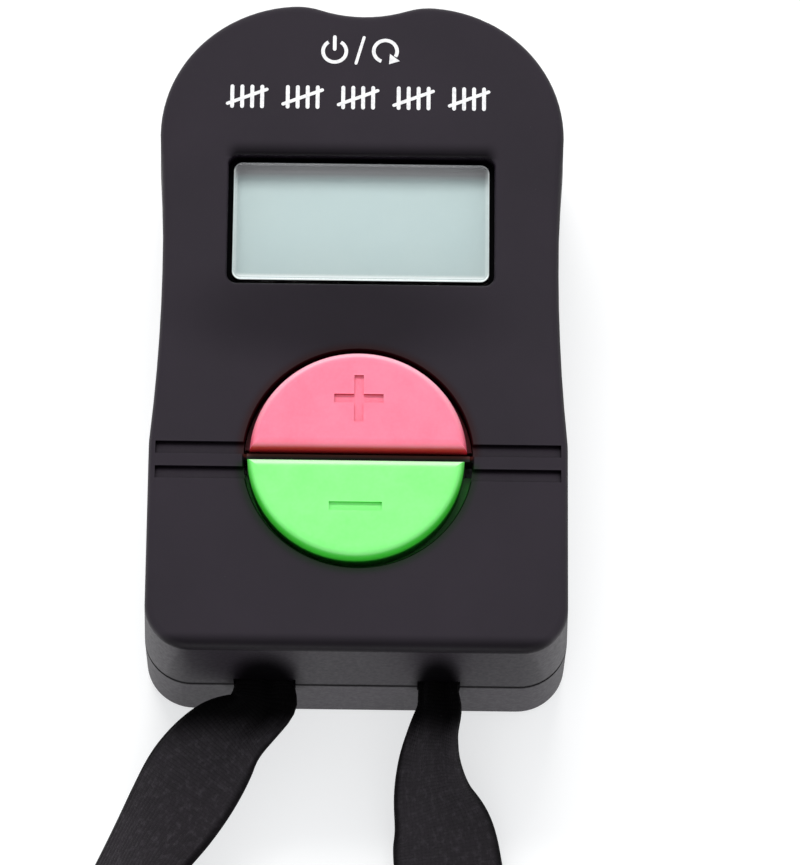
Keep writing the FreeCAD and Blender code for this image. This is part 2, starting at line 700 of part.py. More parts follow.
def rear_block(body):
    """The tray with its seam tongue, drawn as a right half and mirrored."""
    half = pad(body, half_outline(body, "rear_outline"), D.seam_height)
    whole = mirror(body, [half])
    rounded = soften_level(body, whole, Size.of(0.0), D.back_edge_radius)
    soften_level(body, rounded, D.seam_height, D.seam_bevel, "Chamfer")
    sketch = half_outline(body, "rear_tongue", D.seam_height, D.tongue_inset)
    tongue = pad(body, sketch, D.tongue_height)
    tongue_top = D.seam_height + D.tongue_height
    sketch = half_outline(body, "rear_cavity", tongue_top, D.wall_side)
    cavity = pocket(body, sketch, tongue_top - D.wall_floor)
    mirror(body, [tongue, cavity])


def rear_bosses(body):
    add_circles(body, "rear_bosses", D.wall_floor, case_screw_places, D.back_boss_radius,
                D.back_boss_top - D.wall_floor)
    cut_circles(body, "counterbores", 0.0, case_screw_places, D.counterbore_radius,
                D.counterbore_depth)
    cut_circles(body, "clearance_holes", 0.0, case_screw_places, D.clearance_radius,
                D.back_boss_top + D.clearance_overrun)


def battery_bay(body):
    """Round wall, three locating ribs, and the ledge that the cover's lugs turn under."""
    sketch = sketch_on(body, "bay_wall_ring", D.wall_floor)
    circle(sketch, 0.0, D.bay_centre, D.bay_radius + D.bay_wall)
    circle(sketch, 0.0, D.bay_centre, D.bay_radius)
    pad(body, sketch, D.bay_top - D.wall_floor)
    add_circles(body, "bay_ledge", D.wall_floor, bay_axis, D.bay_radius + D.ledge_overlap,
                D.ledge_top - D.wall_floor)
    inner, outer = D.bay_rib_inner, D.bay_radius + D.bay_rib_overlap
    middle, half = D.bay_centre, D.bay_rib_half
    for name, box in (("rib_right", (inner, outer, middle - half, middle + half)),
                      ("rib_left", (-outer, -inner, middle - half, middle + half)),
                      ("rib_low", (-half, half, middle - outer, middle - inner))):
        sketch = sketch_on(body, name, D.bay_rib_bottom)
        rectangle(sketch, *box)
        pad(body, sketch, D.bay_top - D.bay_rib_bottom)
    cut_circles(body, "cover_recess", 0.0, bay_axis, D.cover_recess_radius,
                D.cover_recess_depth)
    cut_circles(body, "cover_opening", 0.0, bay_axis, D.cover_opening_radius,
                D.ledge_top + D.margin)
    sketch = sketch_on(body, "cover_keyways")
    for turn in (0.0, 180.0):
        lug_shape(sketch, D.cover_opening_radius - D.keyway_overlap,
                  D.lug_radius + D.keyway_play, turn + -D.cover_open_angle,
                  D.keyway_half_angle)
    pocket(body, sketch, D.ledge_top + D.margin, along=True)


def build_rear_shell():
    body = new_body("rear_shell")
    rear_block(body)
    rear_bosses(body)
    battery_bay(body)
    cut_strap_slots(body, "rear_strap_slots", D.slot_low, D.slot_high)


# ---------------------------------------------------------------- display

def build_display_lens():
    """A plate behind the face, with a clear block that stands up into the window."""
    body = new_body("display_lens")
    sketch = sketch_on(body, "lens_outline", lens_bottom)
    centred_rounded(sketch, D.lens_width, D.lens_height, D.window_centre, D.lens_plate_corner)
    pad(body, sketch, D.lens_thickness)
    sketch = sketch_on(body, "lens_block", face_in)
    centred_rounded(sketch, D.window_width - D.lens_gap_side * 2,
                    D.window_height - D.lens_gap_end * 2, D.window_centre, D.lens_corner)
    block = pad(body, sketch, D.lens_top - face_in)
    soften_level(body, block, D.lens_top, D.lens_edge_radius)


def build_display_stack():
    for label, bottom in (("lcd_front_polariser", polariser_bottom),
                          ("lcd_reflector", reflector_bottom)):
        slab(label, D.polariser_width, cell_low + D.polariser_inset_low,
             lens_high - D.polariser_inset_high, bottom, D.polariser_thickness)
    for label, low, bottom in (("lcd_front_glass", glass_low, front_glass_bottom),
                               ("lcd_rear_glass", cell_low, rear_glass_bottom)):
        slab(label, D.lens_width, low, lens_high, bottom, D.glass_thickness)
    zebra_low = glass_low + D.zebra_inset
    slab("zebra_connector", D.zebra_length, zebra_low, zebra_low + D.zebra_thickness,
         D.board_top, front_glass_bottom - D.board_top)


# ---------------------------------------------------------------- board and what it carries

def build_circuit_board():
    """A rectangle with a narrower tongue towards the top end."""
    body = new_body("circuit_board")
    sketch = sketch_on(body, "board_outline", board_bottom)
    half, tongue = D.board_half_width, D.board_tongue_half
    polygon(sketch, [
        (-half, D.board_low), (half, D.board_low), (half, D.board_high),
        (tongue, D.board_high), (tongue, D.board_tongue_high),
        (-tongue, D.board_tongue_high), (-tongue, D.board_high), (-half, D.board_high),
    ])
    pad(body, sketch, D.board_thickness)
    cut_circles(body, "board_holes", D.board_top, board_screw_places, D.board_hole_radius,
                D.board_thickness + D.margin, upward=False)


def build_chip_blob():
    """A low cap of a ball, cut to a round foot."""
    ball_z = D.board_top + D.blob_height - D.blob_ball_radius
    ball = primitive("Sphere", "blob_ball", 0.0, D.blob_centre, ball_z,
                     Radius=D.blob_ball_radius)
    foot = primitive("Cylinder", "blob_foot", 0.0, D.blob_centre, D.board_top,
                     Radius=D.blob_foot_radius, Height=D.blob_foot_height)
    combine("Common", "chip_blob", ball, foot)


def build_chip_components():
    chips = []
    for i, (x, y, length, width, height) in enumerate(COMPONENTS, start=1):
        chips.append(primitive("Box", "component_%d" % i, x, y, board_bottom - height,
                               Length=length, Width=width, Height=height))
    compound("chip_components", chips)


def build_contact_pads():
    """Under each key, two near half discs with a narrow gap between left and right."""
    discs = []
    for side in (1, -1):
        for half, turn in ((-1, 92.0), (1, -88.0)):
            disc = primitive("Cylinder", "pad_disc", D.pad_half_gap * half, dome_centre(side),
                             D.board_top, turn, Radius=D.pad_radius, Height=D.pad_thickness)
            disc.Angle = 176.0
            discs.append(disc)
    compound("contact_pads", discs)


# ---------------------------------------------------------------- keys

def plus_symbol(sketch):
    reach, half, y = D.plus_size / 2, D.symbol_stroke / 2, D.key_centre + D.plus_offset
    polygon(sketch, [
        (-reach, y - half), (-half, y - half), (-half, y - reach), (half, y - reach),
        (half, y - half), (reach, y - half), (reach, y + half), (half, y + half),
        (half, y + reach), (-half, y + reach), (-half, y + half), (-reach, y + half),
    ])


def minus_symbol(sketch):
    half, y = D.symbol_stroke / 2, D.key_centre - D.minus_offset
    centred_rectangle(sketch, D.minus_size, y - half, y + half)


def key(label, side, draw_symbol):
    """A hollow half-round key with a flange, a post over its dome and a sunk symbol."""
    body = new_body(label)
    sketch = sketch_on(body, label + "_outline", D.key_bottom)
    half_round(sketch, D.key_centre, D.key_radius, D.key_flat, side)
    block = pad(body, sketch, D.key_top - D.key_bottom)
    soften_level(body, block, D.key_top, D.key_edge)
    sketch = sketch_on(body, label + "_flange", D.key_bottom)
    half_round(sketch, D.key_centre, D.key_flange_radius, D.key_flange_flat, side)
    pad(body, sketch, D.key_flange_thickness)
    sketch = sketch_on(body, label + "_hollow", D.key_bottom)
    half_round(sketch, D.key_centre, D.key_hollow_radius, D.key_hollow_flat, side)
    hollow_depth = D.key_hollow_top - D.key_bottom
    pocket(body, sketch, hollow_depth, along=True)
    add_circles(body, label + "_post", D.key_bottom - D.key_post_drop,
                [(0.0, dome_centre(side))], D.key_post_radius, hollow_depth + D.key_post_drop)
    sketch = sketch_on(body, label + "_symbol", D.key_top)
    draw_symbol(sketch)
    pocket(body, sketch, D.symbol_depth)
    return body


def build_keys():
    key("plus_key", 1, plus_symbol)
    minus = key("minus_key", -1, minus_symbol)
    # the lower key sits a little to the left in its opening, within its side play
    shift = V(-D.minus_key_shift.value, 0, 0)
    minus.Placement = FreeCAD.Placement(shift, FreeCAD.Rotation())
    doc.recompute()


def build_key_membrane():
    """A mat on the board with a hollow dome under each key post."""
    body = new_body("key_membrane")
    sketch = sketch_on(body, "mat_outline", D.board_top)
    rounded_rectangle(sketch, -D.mat_half_width, D.mat_half_width, D.mat_low, D.mat_high,
                      D.mat_corner)
    for side in (1, -1):
        circle(sketch, 0.0, dome_centre(side), D.mat_hole_radius)
    pad(body, sketch, D.mat_thickness)
    base = D.board_top
    mat_top = base + D.mat_thickness
    ceiling = D.pill_bottom + D.pill_thickness
    dome_top = D.key_bottom - D.key_post_drop - D.dome_post_gap
    profile = [
        (0.0, ceiling), (D.dome_ceiling_radius, ceiling), (D.dome_mouth_radius, base),
        (D.dome_base_radius, base), (D.dome_base_radius, mat_top),
        (D.dome_shoulder_radius, mat_top), (D.dome_top_radius, base + D.dome_side_height),
        (D.dome_top_radius, dome_top), (0.0, dome_top),
    ]
    for side, name in ((1, "plus_dome"), (-1, "minus_dome")):
        turned(body, name, profile, dome_centre(side))


def build_contact_pills():
    for side, label in ((1, "plus_contact_pill"), (-1, "minus_contact_pill")):
        add_circles(new_body(label), label + "_disc", D.pill_bottom, [(0.0, dome_centre(side))],
                    D.pill_radius, D.pill_thickness)


# ---------------------------------------------------------------- reset key and switch

def build_reset_button():
    body = new_body("reset_button")
    sketch = sketch_on(body, "reset_stem", -D.reset_tip, "XZ_Plane")
    round_ended(sketch, D.reset_hole_width - D.reset_play * 2,
                D.reset_hole_height - D.reset_play * 2, D.reset_z)
    stem = pad(body, sketch, D.reset_tip - D.reset_flange_outer + D.margin)
    soften_level(body, stem, D.reset_tip, D.reset_edge_radius, axis="Y")
    sketch = sketch_on(body, "reset_flange", -D.reset_flange_outer, "XZ_Plane")
    centred_rounded(sketch, D.reset_flange_width, D.reset_flange_height, D.reset_z,
                    D.reset_flange_corner)
    pad(body, sketch, D.reset_flange_outer - D.reset_flange_inner)


def build_reset_switch():
    """The switch body on the board and the plunger between it and the reset key."""
    body = slab("reset_switch_body", D.switch_width, D.switch_front - D.switch_size,
                D.switch_front, D.board_top, D.switch_size)
    half_height = D.plunger_height / 2
    way_half = half_height + D.plunger_play
    sketch = sketch_on(body, "plunger_way", -D.switch_front, "XZ_Plane")
    centred_rectangle(sketch, D.plunger_width + D.plunger_play * 2,
                      D.reset_z - way_half, D.reset_z + way_half)
    pocket(body, sketch, D.switch_size * 0.5, along=True)

    body = new_body("reset_switch_plunger")
    sketch = sketch_on(body, "plunger_outline", -D.reset_flange_inner, "XZ_Plane")
    centred_rectangle(sketch, D.plunger_width, D.reset_z - half_height, D.reset_z + half_height)
    pad(body, sketch, D.reset_flange_inner - D.switch_front + D.plunger_inside)


# ---------------------------------------------------------------- cell, contacts and cover

def build_button_cell():
    body = new_body("button_cell")
    can = add_circles(body, "cell_can", D.cell_bottom, bay_axis, D.cell_radius,
                      D.cell_can_height)
    # only the two full rims are longer than 30
    soften(body, can, lambda edge: edge.Length > 30, D.cell_edge_radius)
    add_circles(body, "cell_cap", D.cell_bottom + D.cell_can_height, bay_axis,
                D.cell_cap_radius, D.cell_height - D.cell_can_height)


def contact_leaf(label, sketch_name, points, width):
    """A bent strip, drawn as a (y, z) outline and padded evenly to both sides."""
    body = new_body(label)
    sketch = sketch_on(body, sketch_name, plane="YZ_Plane")
    polygon(sketch, points)
    pad(body, sketch, width, both=True)


def build_cell_contacts():
    foot_top, foot_low = board_bottom, board_bottom - D.leaf_thickness
    # runs down from the board to the middle of the cell's cap, then turns up at its tip
    tip_z = D.cell_bottom + D.cell_height + D.leaf_gap
    contact_leaf("cell_negative_contact", "negative_leaf", [
        (3.0, foot_low), (6.0, foot_low), (D.bay_centre, tip_z), (12.6, tip_z + 0.3),
        (12.55, tip_z + 0.55), (D.bay_centre, tip_z + 0.26), (6.1, foot_top), (3.0, foot_top),
    ], D.negative_leaf_width)
    # hangs beside the cell on its +Y side, kinked towards it
    touch = D.bay_centre + D.cell_radius + D.leaf_gap
    near = touch + D.positive_leaf_kink
    far = near + D.leaf_thickness
    end = touch + D.positive_foot_reach
    kink_high, kink_middle, kink_low, leaf_end = 6.6, 5.6, 4.6, 3.6
    contact_leaf("cell_positive_contact", "positive_leaf", [
        (end, foot_low), (far, foot_low), (far, kink_high),
        (touch + D.leaf_thickness, kink_middle), (far, kink_low), (far, leaf_end),
        (near, leaf_end), (near, kink_low), (touch, kink_middle), (near, kink_high),
        (near, foot_top), (end, foot_top),
    ], D.positive_leaf_width)


def build_battery_cover():
    """A disc with a hub, two lugs, a coin slot and an index dot."""
    body = new_body("battery_cover")
    disc = add_circles(body, "cover_disc", D.cover_bottom, bay_axis, cover_radius,
                       D.cover_thickness)
    soften_level(body, disc, D.cover_bottom, D.cover_edge_radius)
    disc_top = D.cover_bottom + D.cover_thickness
    add_circles(body, "cover_hub", disc_top, bay_axis, cover_hub_radius,
                D.cover_hub_top - disc_top)
    sketch = sketch_on(body, "cover_lugs", D.lug_bottom)
    for turn in (0.0, 180.0):
        lug_shape(sketch, cover_hub_radius - D.lug_overlap, D.lug_radius, turn,
                  D.lug_half_angle)
    pad(body, sketch, D.cover_hub_top - D.lug_bottom)
    sketch = sketch_on(body, "coin_slot", D.cover_bottom)
    round_ended(sketch, D.coin_slot_length, D.coin_slot_width, D.bay_centre)
    pocket(body, sketch, D.coin_slot_depth, along=True)
    dot_y = D.bay_centre + cover_radius - D.index_dot_inset
    cut_circles(body, "index_dot", D.cover_bottom, [(0.0, dot_y)], D.index_dot_radius,
                D.index_dot_depth)


# ---------------------------------------------------------------- screws

def screw(name, x, y, head_z, head_radius, head_height, shank_radius, length):
    """Screw with a flat round head and a cross recess, driven upwards from head_z."""
    head = primitive("Cylinder", name + "_head", x, y, head_z,
                     Radius=head_radius, Height=head_height)
    shank = primitive("Cylinder", name + "_shank", x, y, head_z + head_height,
                      Radius=shank_radius, Height=length)
    blank = combine("Fuse", name + "_blank", head, shank)
    # the recess is sized for the case screws and scales with the head
    scale = head_radius / D.screw_head_radius
    long_side, short_side = scale * D.recess_length, scale * D.recess_width
    arms = []
    for size_x, size_y in ((long_side, short_side), (short_side, long_side)):
        arms.append(primitive(
            "Box", name + "_recess", x - size_x / 2, y - size_y / 2,
            head_z - D.recess_overrun, Length=size_x, Width=size_y,
            Height=head_height * 0.5 + D.recess_overrun))
    cross = combine("Fuse", name + "_cross", *arms)
    return combine("Cut", name, blank, cross)


def build_screws():
    case_sizes = dict(
        head_z=D.counterbore_depth - D.screw_head_height, head_radius=D.screw_head_radius,
        head_height=D.screw_head_height, shank_radius=D.screw_radius, length=D.screw_length)
    board_sizes = dict(
        head_z=board_bottom - D.board_head_height, head_radius=D.board_head_radius,
        head_height=D.board_head_height, shank_radius=D.board_screw_radius,
        length=D.board_screw_length)
    for label, places, sizes in (("case_screws", case_screw_places, case_sizes),
                                 ("board_screws", board_screw_places, board_sizes)):
        compound(label, [screw("%s_%d" % (label, i), x, y, **sizes)
                         for i, (x, y) in enumerate(places, start=1)])


# ---------------------------------------------------------------- strap

def build_strap_anchor():
    """Inside the case the ribbon is bunched into a cord that runs behind the bridge between
    the two slots."""
    body = new_body("strap_anchor")
    path = sketch_on(body, "anchor_path", D.strap_z)
    x, bend = D.anchor_x.value, D.anchor_bend.value
    depth, end = D.anchor_depth.value, D.anchor_end.value
    for piece in (segment(-x, -end, -x, -depth - bend),
                  arc(-x + bend, -depth - bend, bend, math.pi / 2, math.pi),
                  segment(-x + bend, -depth, x - bend, -depth),
                  arc(x - bend, -depth - bend, bend, 0, math.pi / 2),
                  segment(x, -depth - bend, x, -end)):
        path.addGeometry(piece, False)
    for relation in (("Tangent", 0, 2, 1, 2), ("Tangent", 1, 1, 2, 1), ("Tangent", 2, 2, 3, 2),
                     ("Tangent", 3, 1, 4, 1), ("Vertical", 0), ("Horizontal", 2),
                     ("Vertical", 4)):
        constrain(path, *relation)
    drive(path, "Radius", 1, D.anchor_bend)
    drive(path, "Radius", 3, D.anchor_bend)
    place_point(path, 0, 1, -D.anchor_x, -D.anchor_end)
    place_point(path, 4, 2, D.anchor_x, -D.anchor_end)
    drive(path, "DistanceY", -1, 1, 2, 1, -D.anchor_depth)
    section = sketch_on(body, "anchor_section", D.anchor_end, "XZ_Plane")
    half_width, half_height = D.anchor_half_width, D.anchor_half_height
    rounded_rectangle(section, -D.anchor_x - half_width, -D.anchor_x + half_width,
                      D.strap_z - half_height, D.strap_z + half_height, D.anchor_corner)
    cord = body.newObject("PartDesign::AdditivePipe", "anchor_cord")
    cord.Profile = section
    cord.Spine = (path, ["Edge1", "Edge2", "Edge3", "Edge4", "Edge5"])
    finish(body, cord)


def build_strap_loop():
    """Outside the case the ribbon opens to its full width, falls to the table, stands on edge
    round the far bend and comes back."""
    centres = [V(x, y, z) for x, y, z, _, _ in STRAP_STATIONS]
    last = len(centres) - 1
    sections = []
    for i, (_, _, _, roll, share) in enumerate(STRAP_STATIONS):
        if i == 0:
            forward = V(0, -1, 0)
        elif i == last:
            forward = V(0, 1, 0)
        else:
            forward = centres[i + 1] - centres[i - 1]
        forward.normalize()
        side = forward.cross(V(0, 0, 1))
        side.normalize()
        up = side.cross(forward)
        angle = math.radians(roll)
        across = side * math.cos(angle) + up * math.sin(angle)
        through = forward.cross(across)
        thickening = 1.0 + GATHER_THICKENING * (1 - share)
        half_across = across * (D.strap_width.value * share / 2)
        half_through = through * (D.strap_thickness.value / 2 * thickening)
        corners = [centres[i] + half_across * a + half_through * b
                   for a, b in ((-1, -1), (1, -1), (1, 1), (-1, 1))]
        sections.append(Part.makePolygon(corners + [corners[0]]))
    strap = doc.addObject("Part::Feature", "strap_loop")
    strap.Shape = Part.makeLoft(sections, True, True, False)
    strap.Label = "strap_loop"


# ---------------------------------------------------------------- build, check and write

NODES = [
    "front_shell", "rear_shell", "display_lens", "lcd_front_polariser", "lcd_front_glass",
    "lcd_rear_glass", "lcd_reflector", "zebra_connector", "circuit_board", "chip_blob",
    "chip_components", "contact_pads", "plus_key", "minus_key", "key_membrane",
    "plus_contact_pill", "minus_contact_pill", "reset_button", "reset_switch_body",
    "reset_switch_plunger", "button_cell", "cell_negative_contact", "cell_positive_contact",
    "battery_cover", "case_screws", "board_screws", "strap_anchor", "strap_loop",
]


def write_parts():
    for obj in doc.Objects:
        if "Invalid" in obj.State or "Error" in obj.State:
            raise RuntimeError("%s failed: %s" % (obj.Label, obj.State))
    os.makedirs("parts", exist_ok=True)
    for label in NODES:
        shape = doc.getObjectsByLabel(label)[0].Shape
        sound = not shape.isNull() and shape.isValid() and shape.Solids
        if not sound or any(solid.Volume <= 0 for solid in shape.Solids):
            raise RuntimeError("%s has no sound solid" % label)
        shape.exportStep(os.path.join("parts", label + ".step"))


build_front_shell()
build_rear_shell()
build_display_lens()
build_display_stack()
build_circuit_board()
build_chip_blob()
build_chip_components()
build_contact_pads()
build_keys()
build_key_membrane()
build_contact_pills()
build_reset_button()
build_reset_switch()
build_button_cell()
build_cell_contacts()
build_battery_cover()
build_screws()
build_strap_anchor()
build_strap_loop()
doc.recompute()
write_parts()
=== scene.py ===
"""A hand-held tally counter with a display, two coloured keys and a ribbon wrist strap.

It lies on its back: the face looks along +Z, the display end points to +Y and the strap
leaves the bottom end towards -Y. Lengths are millimetres unless a comment says otherwise.
"""
import math
from collections import namedtuple

import bmesh
import bpy
from mathutils import Matrix, Vector
from mathutils.geometry import delaunay_2d_cdt


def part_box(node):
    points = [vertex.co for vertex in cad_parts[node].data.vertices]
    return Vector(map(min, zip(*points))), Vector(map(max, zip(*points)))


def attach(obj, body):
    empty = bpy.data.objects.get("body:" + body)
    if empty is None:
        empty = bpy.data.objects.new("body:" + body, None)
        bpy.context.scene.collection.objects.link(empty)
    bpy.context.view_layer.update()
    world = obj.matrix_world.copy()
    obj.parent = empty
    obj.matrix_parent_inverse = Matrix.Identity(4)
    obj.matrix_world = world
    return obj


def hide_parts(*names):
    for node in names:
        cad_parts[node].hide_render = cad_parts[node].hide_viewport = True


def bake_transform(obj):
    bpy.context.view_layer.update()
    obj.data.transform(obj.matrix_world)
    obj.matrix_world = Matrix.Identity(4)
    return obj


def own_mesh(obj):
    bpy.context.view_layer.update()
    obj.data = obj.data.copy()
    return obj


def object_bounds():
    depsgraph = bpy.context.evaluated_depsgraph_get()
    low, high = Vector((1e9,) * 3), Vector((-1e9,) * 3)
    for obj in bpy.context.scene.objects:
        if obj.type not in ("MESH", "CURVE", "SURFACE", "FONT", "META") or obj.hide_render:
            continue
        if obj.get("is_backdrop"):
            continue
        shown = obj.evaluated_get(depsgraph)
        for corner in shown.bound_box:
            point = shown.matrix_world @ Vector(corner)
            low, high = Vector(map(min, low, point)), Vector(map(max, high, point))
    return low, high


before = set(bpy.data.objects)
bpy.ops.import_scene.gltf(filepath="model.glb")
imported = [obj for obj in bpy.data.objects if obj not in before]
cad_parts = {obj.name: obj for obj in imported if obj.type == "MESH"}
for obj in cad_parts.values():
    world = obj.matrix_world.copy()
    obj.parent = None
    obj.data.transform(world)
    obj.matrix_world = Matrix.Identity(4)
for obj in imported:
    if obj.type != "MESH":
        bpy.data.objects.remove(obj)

MM = 0.001                  # one millimetre in metres
KEYS_Y = -13.03             # centre of the round opening that holds both keys

Axes = namedtuple("Axes", "x y z")


def plain(value):
    """Nested vectors as plain lists of numbers."""
    if isinstance(value, dict):
        return {k: plain(v) for k, v in value.items()}
    if isinstance(value, (int, float, str)) or value is None:
        return value
    return [plain(v) for v in value]


cad_box = plain(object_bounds())


def mm(x, y, z):
    return Vector((x * MM, y * MM, z * MM))


# ------------------------------------------------------------------ material building
class Signal:
    """The output of a shader node; arithmetic on it adds Math nodes."""

    def __init__(self, material, socket):
        self.material = material
        self.socket = socket

    def op(self, operation, *others):
        return self.material.math(operation, self, *others)

    def __add__(self, other):
        return self.op("ADD", other)

    def __radd__(self, other):
        return self.material.math("ADD", other, self)

    def __sub__(self, other):
        return self.op("SUBTRACT", other)

    def __rsub__(self, other):
        return self.material.math("SUBTRACT", other, self)

    def __mul__(self, other):
        return self.op("MULTIPLY", other)

    def __rmul__(self, other):
        return self.material.math("MULTIPLY", other, self)

    def __truediv__(self, other):
        return self.op("DIVIDE", other)

    def __mod__(self, other):
        return self.op("MODULO", other)

    def __pow__(self, other):
        return self.op("POWER", other)

    def __abs__(self):
        return self.op("ABSOLUTE")

    def max(self, other):
        return self.op("MAXIMUM", other)

    def ramp(self, start, end, to=(0.0, 1.0), smooth=False):
        """Runs from to[0] where the signal is start to to[1] where it is end; flat beyond."""
        return self.material.add(
            "ShaderNodeMapRange", "Result",
            {"Value": self, "From Min": start, "From Max": end, "To Min": to[0], "To Max": to[1]},
            clamp=True, interpolation_type="SMOOTHSTEP" if smooth else "LINEAR")


def hypot(a, b):
    return (a * a + b * b).op("SQRT")


def scaled(colour, factor):
    return tuple(channel * factor for channel in colour)


class Material:
    """A node material with a Principled shader; textures run on object position in mm."""

    def __init__(self, name):
        self.material = bpy.data.materials.new(name)
        self.material.use_nodes = True
        self.tree = self.material.node_tree
        self.tree.nodes.clear()
        self.output_node = self.node("ShaderNodeOutputMaterial")
        self.principled = self.node("ShaderNodeBsdfPrincipled")
        self.shader = self.output(self.principled, 0)
        self.show(self.shader)
        coords = self.add("ShaderNodeTexCoord", "Object")
        self.position = self.add("ShaderNodeVectorMath", "Vector",
                                 {0: coords, "Scale": 1 / MM}, operation="SCALE")

    def node(self, kind, inputs=None, **props):
        node = self.tree.nodes.new(kind)
        for name, value in props.items():
            setattr(node, name, value)
        for name, value in (inputs or {}).items():
            self.put(node.inputs[name], value)
        return node

    def output(self, node, name):
        return Signal(self, node.outputs[name])

    def add(self, kind, output=0, inputs=None, **props):
        """Adds a node and gives one of its outputs."""
        return self.output(self.node(kind, inputs, **props), output)

    def put(self, socket, value):
        if isinstance(value, Signal):
            self.tree.links.new(value.socket, socket)
        elif socket.type == "RGBA":
            socket.default_value = (*value, 1.0)
        else:
            socket.default_value = value

    def set(self, name, value):
        """Sets an input of the Principled shader."""
        self.put(self.principled.inputs[name], value)

    def show(self, shader):
        self.put(self.output_node.inputs["Surface"], shader)

    def math(self, operation, *operands):
        return self.add("ShaderNodeMath", 0, dict(enumerate(operands)), operation=operation)

    def stretch(self, factors):
        """The position with each axis scaled."""
        return self.add("ShaderNodeVectorMath", "Vector",
                        {0: self.position, 1: factors}, operation="MULTIPLY")

    def noise(self, scale, detail=2.0, roughness=0.5, vector=None):
        return self.add("ShaderNodeTexNoise", "Fac",
                        {"Vector": vector or self.position, "Scale": scale,
                         "Detail": detail, "Roughness": roughness})

    def voronoi(self, scale, feature="F1", randomness=1.0, vector=None):
        return self.add("ShaderNodeTexVoronoi", "Distance",
                        {"Vector": vector or self.position, "Scale": scale,
                         "Randomness": randomness}, feature=feature)

    def mix(self, amount, a, b):
        return self.add("ShaderNodeMix", 2, {0: amount, 6: a, 7: b},
                        data_type="RGBA", blend_type="MIX")

    def mix_value(self, amount, a, b):
        return self.add("ShaderNodeMix", 0, {0: amount, 2: a, 3: b}, data_type="FLOAT")

    def mix_shader(self, amount, a, b):
        return self.add("ShaderNodeMixShader", 0, {0: amount, 1: a, 2: b})

    def bump(self, height, depth, strength=1.0):
        return self.add("ShaderNodeBump", "Normal",
                        {"Strength": strength, "Distance": depth * MM, "Height": height})

    def geometry(self, output):
        return self.add("ShaderNodeNewGeometry", output)

    def axes(self, vector=None):
        node = self.node("ShaderNodeSeparateXYZ", {0: vector or self.position})
        return Axes(*(self.output(node, i) for i in range(3)))

    def combine(self, x, y, z):
        return self.add("ShaderNodeCombineXYZ", 0, {0: x, 1: y, 2: z})

    def edge(self, radius):
        """1 on convex and concave edges, 0 on flats."""
        bevel = self.add("ShaderNodeBevel", 0, {"Radius": radius * MM}, samples=4)
        along = self.add("ShaderNodeVectorMath", "Value",
                         {0: bevel, 1: self.geometry("True Normal")}, operation="DOT_PRODUCT")
        return (1.0 - along).ramp(0.004, 0.12)

    def openness(self, reach):
        """1 in the open, falling towards 0 where other surfaces crowd in."""
        open_sky = self.add("ShaderNodeAmbientOcclusion", "AO", {"Distance": reach * MM},
                            samples=4)
        return open_sky.ramp(0.30, 0.98)


# ------------------------------------------------------------------ moulded plastics
def painted_shade_zones(mat):
    """Painted shade on the black case: 0 for plain plastic, towards 1 for dead black."""
    x, y, z = mat.axes()

    # painted shade: soft zones on the bottom end round the strap; they reach further up than down
    spots = []
    for centre_x, half_width in ((-8.2, 4.3), (7.45, 2.9)):
        across = (x - centre_x) / half_width
        upright = (z - 8.6) / z.ramp(8.3, 8.7, to=(2.6, 9.4))
        spots.append(hypot(across, upright).ramp(0.42, 1.16, to=(1.0, 0.0), smooth=True))
    total = spots[0].max(spots[1]) * y.ramp(-30.9, -31.1) * 0.97

    # painted shade in a thin zone along the window's +Y edge
    above = y.ramp(16.3, 17.9, to=(1.0, 0.0), smooth=True) * y.ramp(16.0, 16.2)
    across = abs(x).ramp(11.3, 12.8, to=(1.0, 0.0), smooth=True)
    face = z.ramp(17.2, 17.4)
    total = total.max(above * across * (face * 0.82))

    # painted shade in an oval patch between the window and the keys
    patch = hypot((x + 2.0) / 16.5, (y - 0.7) / 6.0)
    total = total.max(patch.ramp(0.35, 1.15, to=(1.0, 0.0), smooth=True) * face * 0.33)

    # painted shade: the front half of the bottom end a touch darker than the rear half
    front_half = y.ramp(-30.9, -31.1) * (z.ramp(8.35, 8.45) * z.ramp(16.8, 16.6))
    total = total.max(front_half * 0.30)

    # painted shade on the rounded lip where the face turns down to the bottom end
    lip = y.ramp(-29.5, -30.6, smooth=True) * z.ramp(16.62, 16.80)
    total = total.max(lip * 0.66)

    # painted shade in the parting line's groove, darkest along the bottom end
    from_seam = abs(z - 8.35)
    seam = from_seam.ramp(0.46, 0.28) * y.ramp(-20.0, -30.0, to=(0.25, 0.80))
    return total.max(seam)


def key_bounce(mat, colour):
    """Light from the coloured keys on the walls of their opening and the bar between them."""
    wall_strength = 0.85
    wall_pink, wall_green = (0.0200, 0.0010, 0.0018), (0.0010, 0.0120, 0.0010)
    bar_green, bar_pink = (0.0030, 0.0036, 0.0022), (0.0640, 0.0160, 0.0130)

    x, y, z = mat.axes()
    from_bar = y - KEYS_Y
    radius = hypot(x, from_bar)
    wall = radius.ramp(11.3, 10.35, smooth=True) * z.ramp(14.0, 15.0)
    pink = wall * from_bar.ramp(0.0, 0.4)
    green = wall * from_bar.ramp(-0.3, -0.8)
    colour = mat.mix(pink * wall_strength, colour, wall_pink)
    colour = mat.mix(green * wall_strength, colour, wall_green)
    bar = abs(from_bar).ramp(0.36, 0.30) * radius.ramp(10.5, 10.2)
    bar = bar * z.ramp(14.0, 15.0)
    tint = mat.mix(from_bar.ramp(-0.10, 0.10), bar_green, bar_pink)
    return mat.mix(bar, colour, tint)


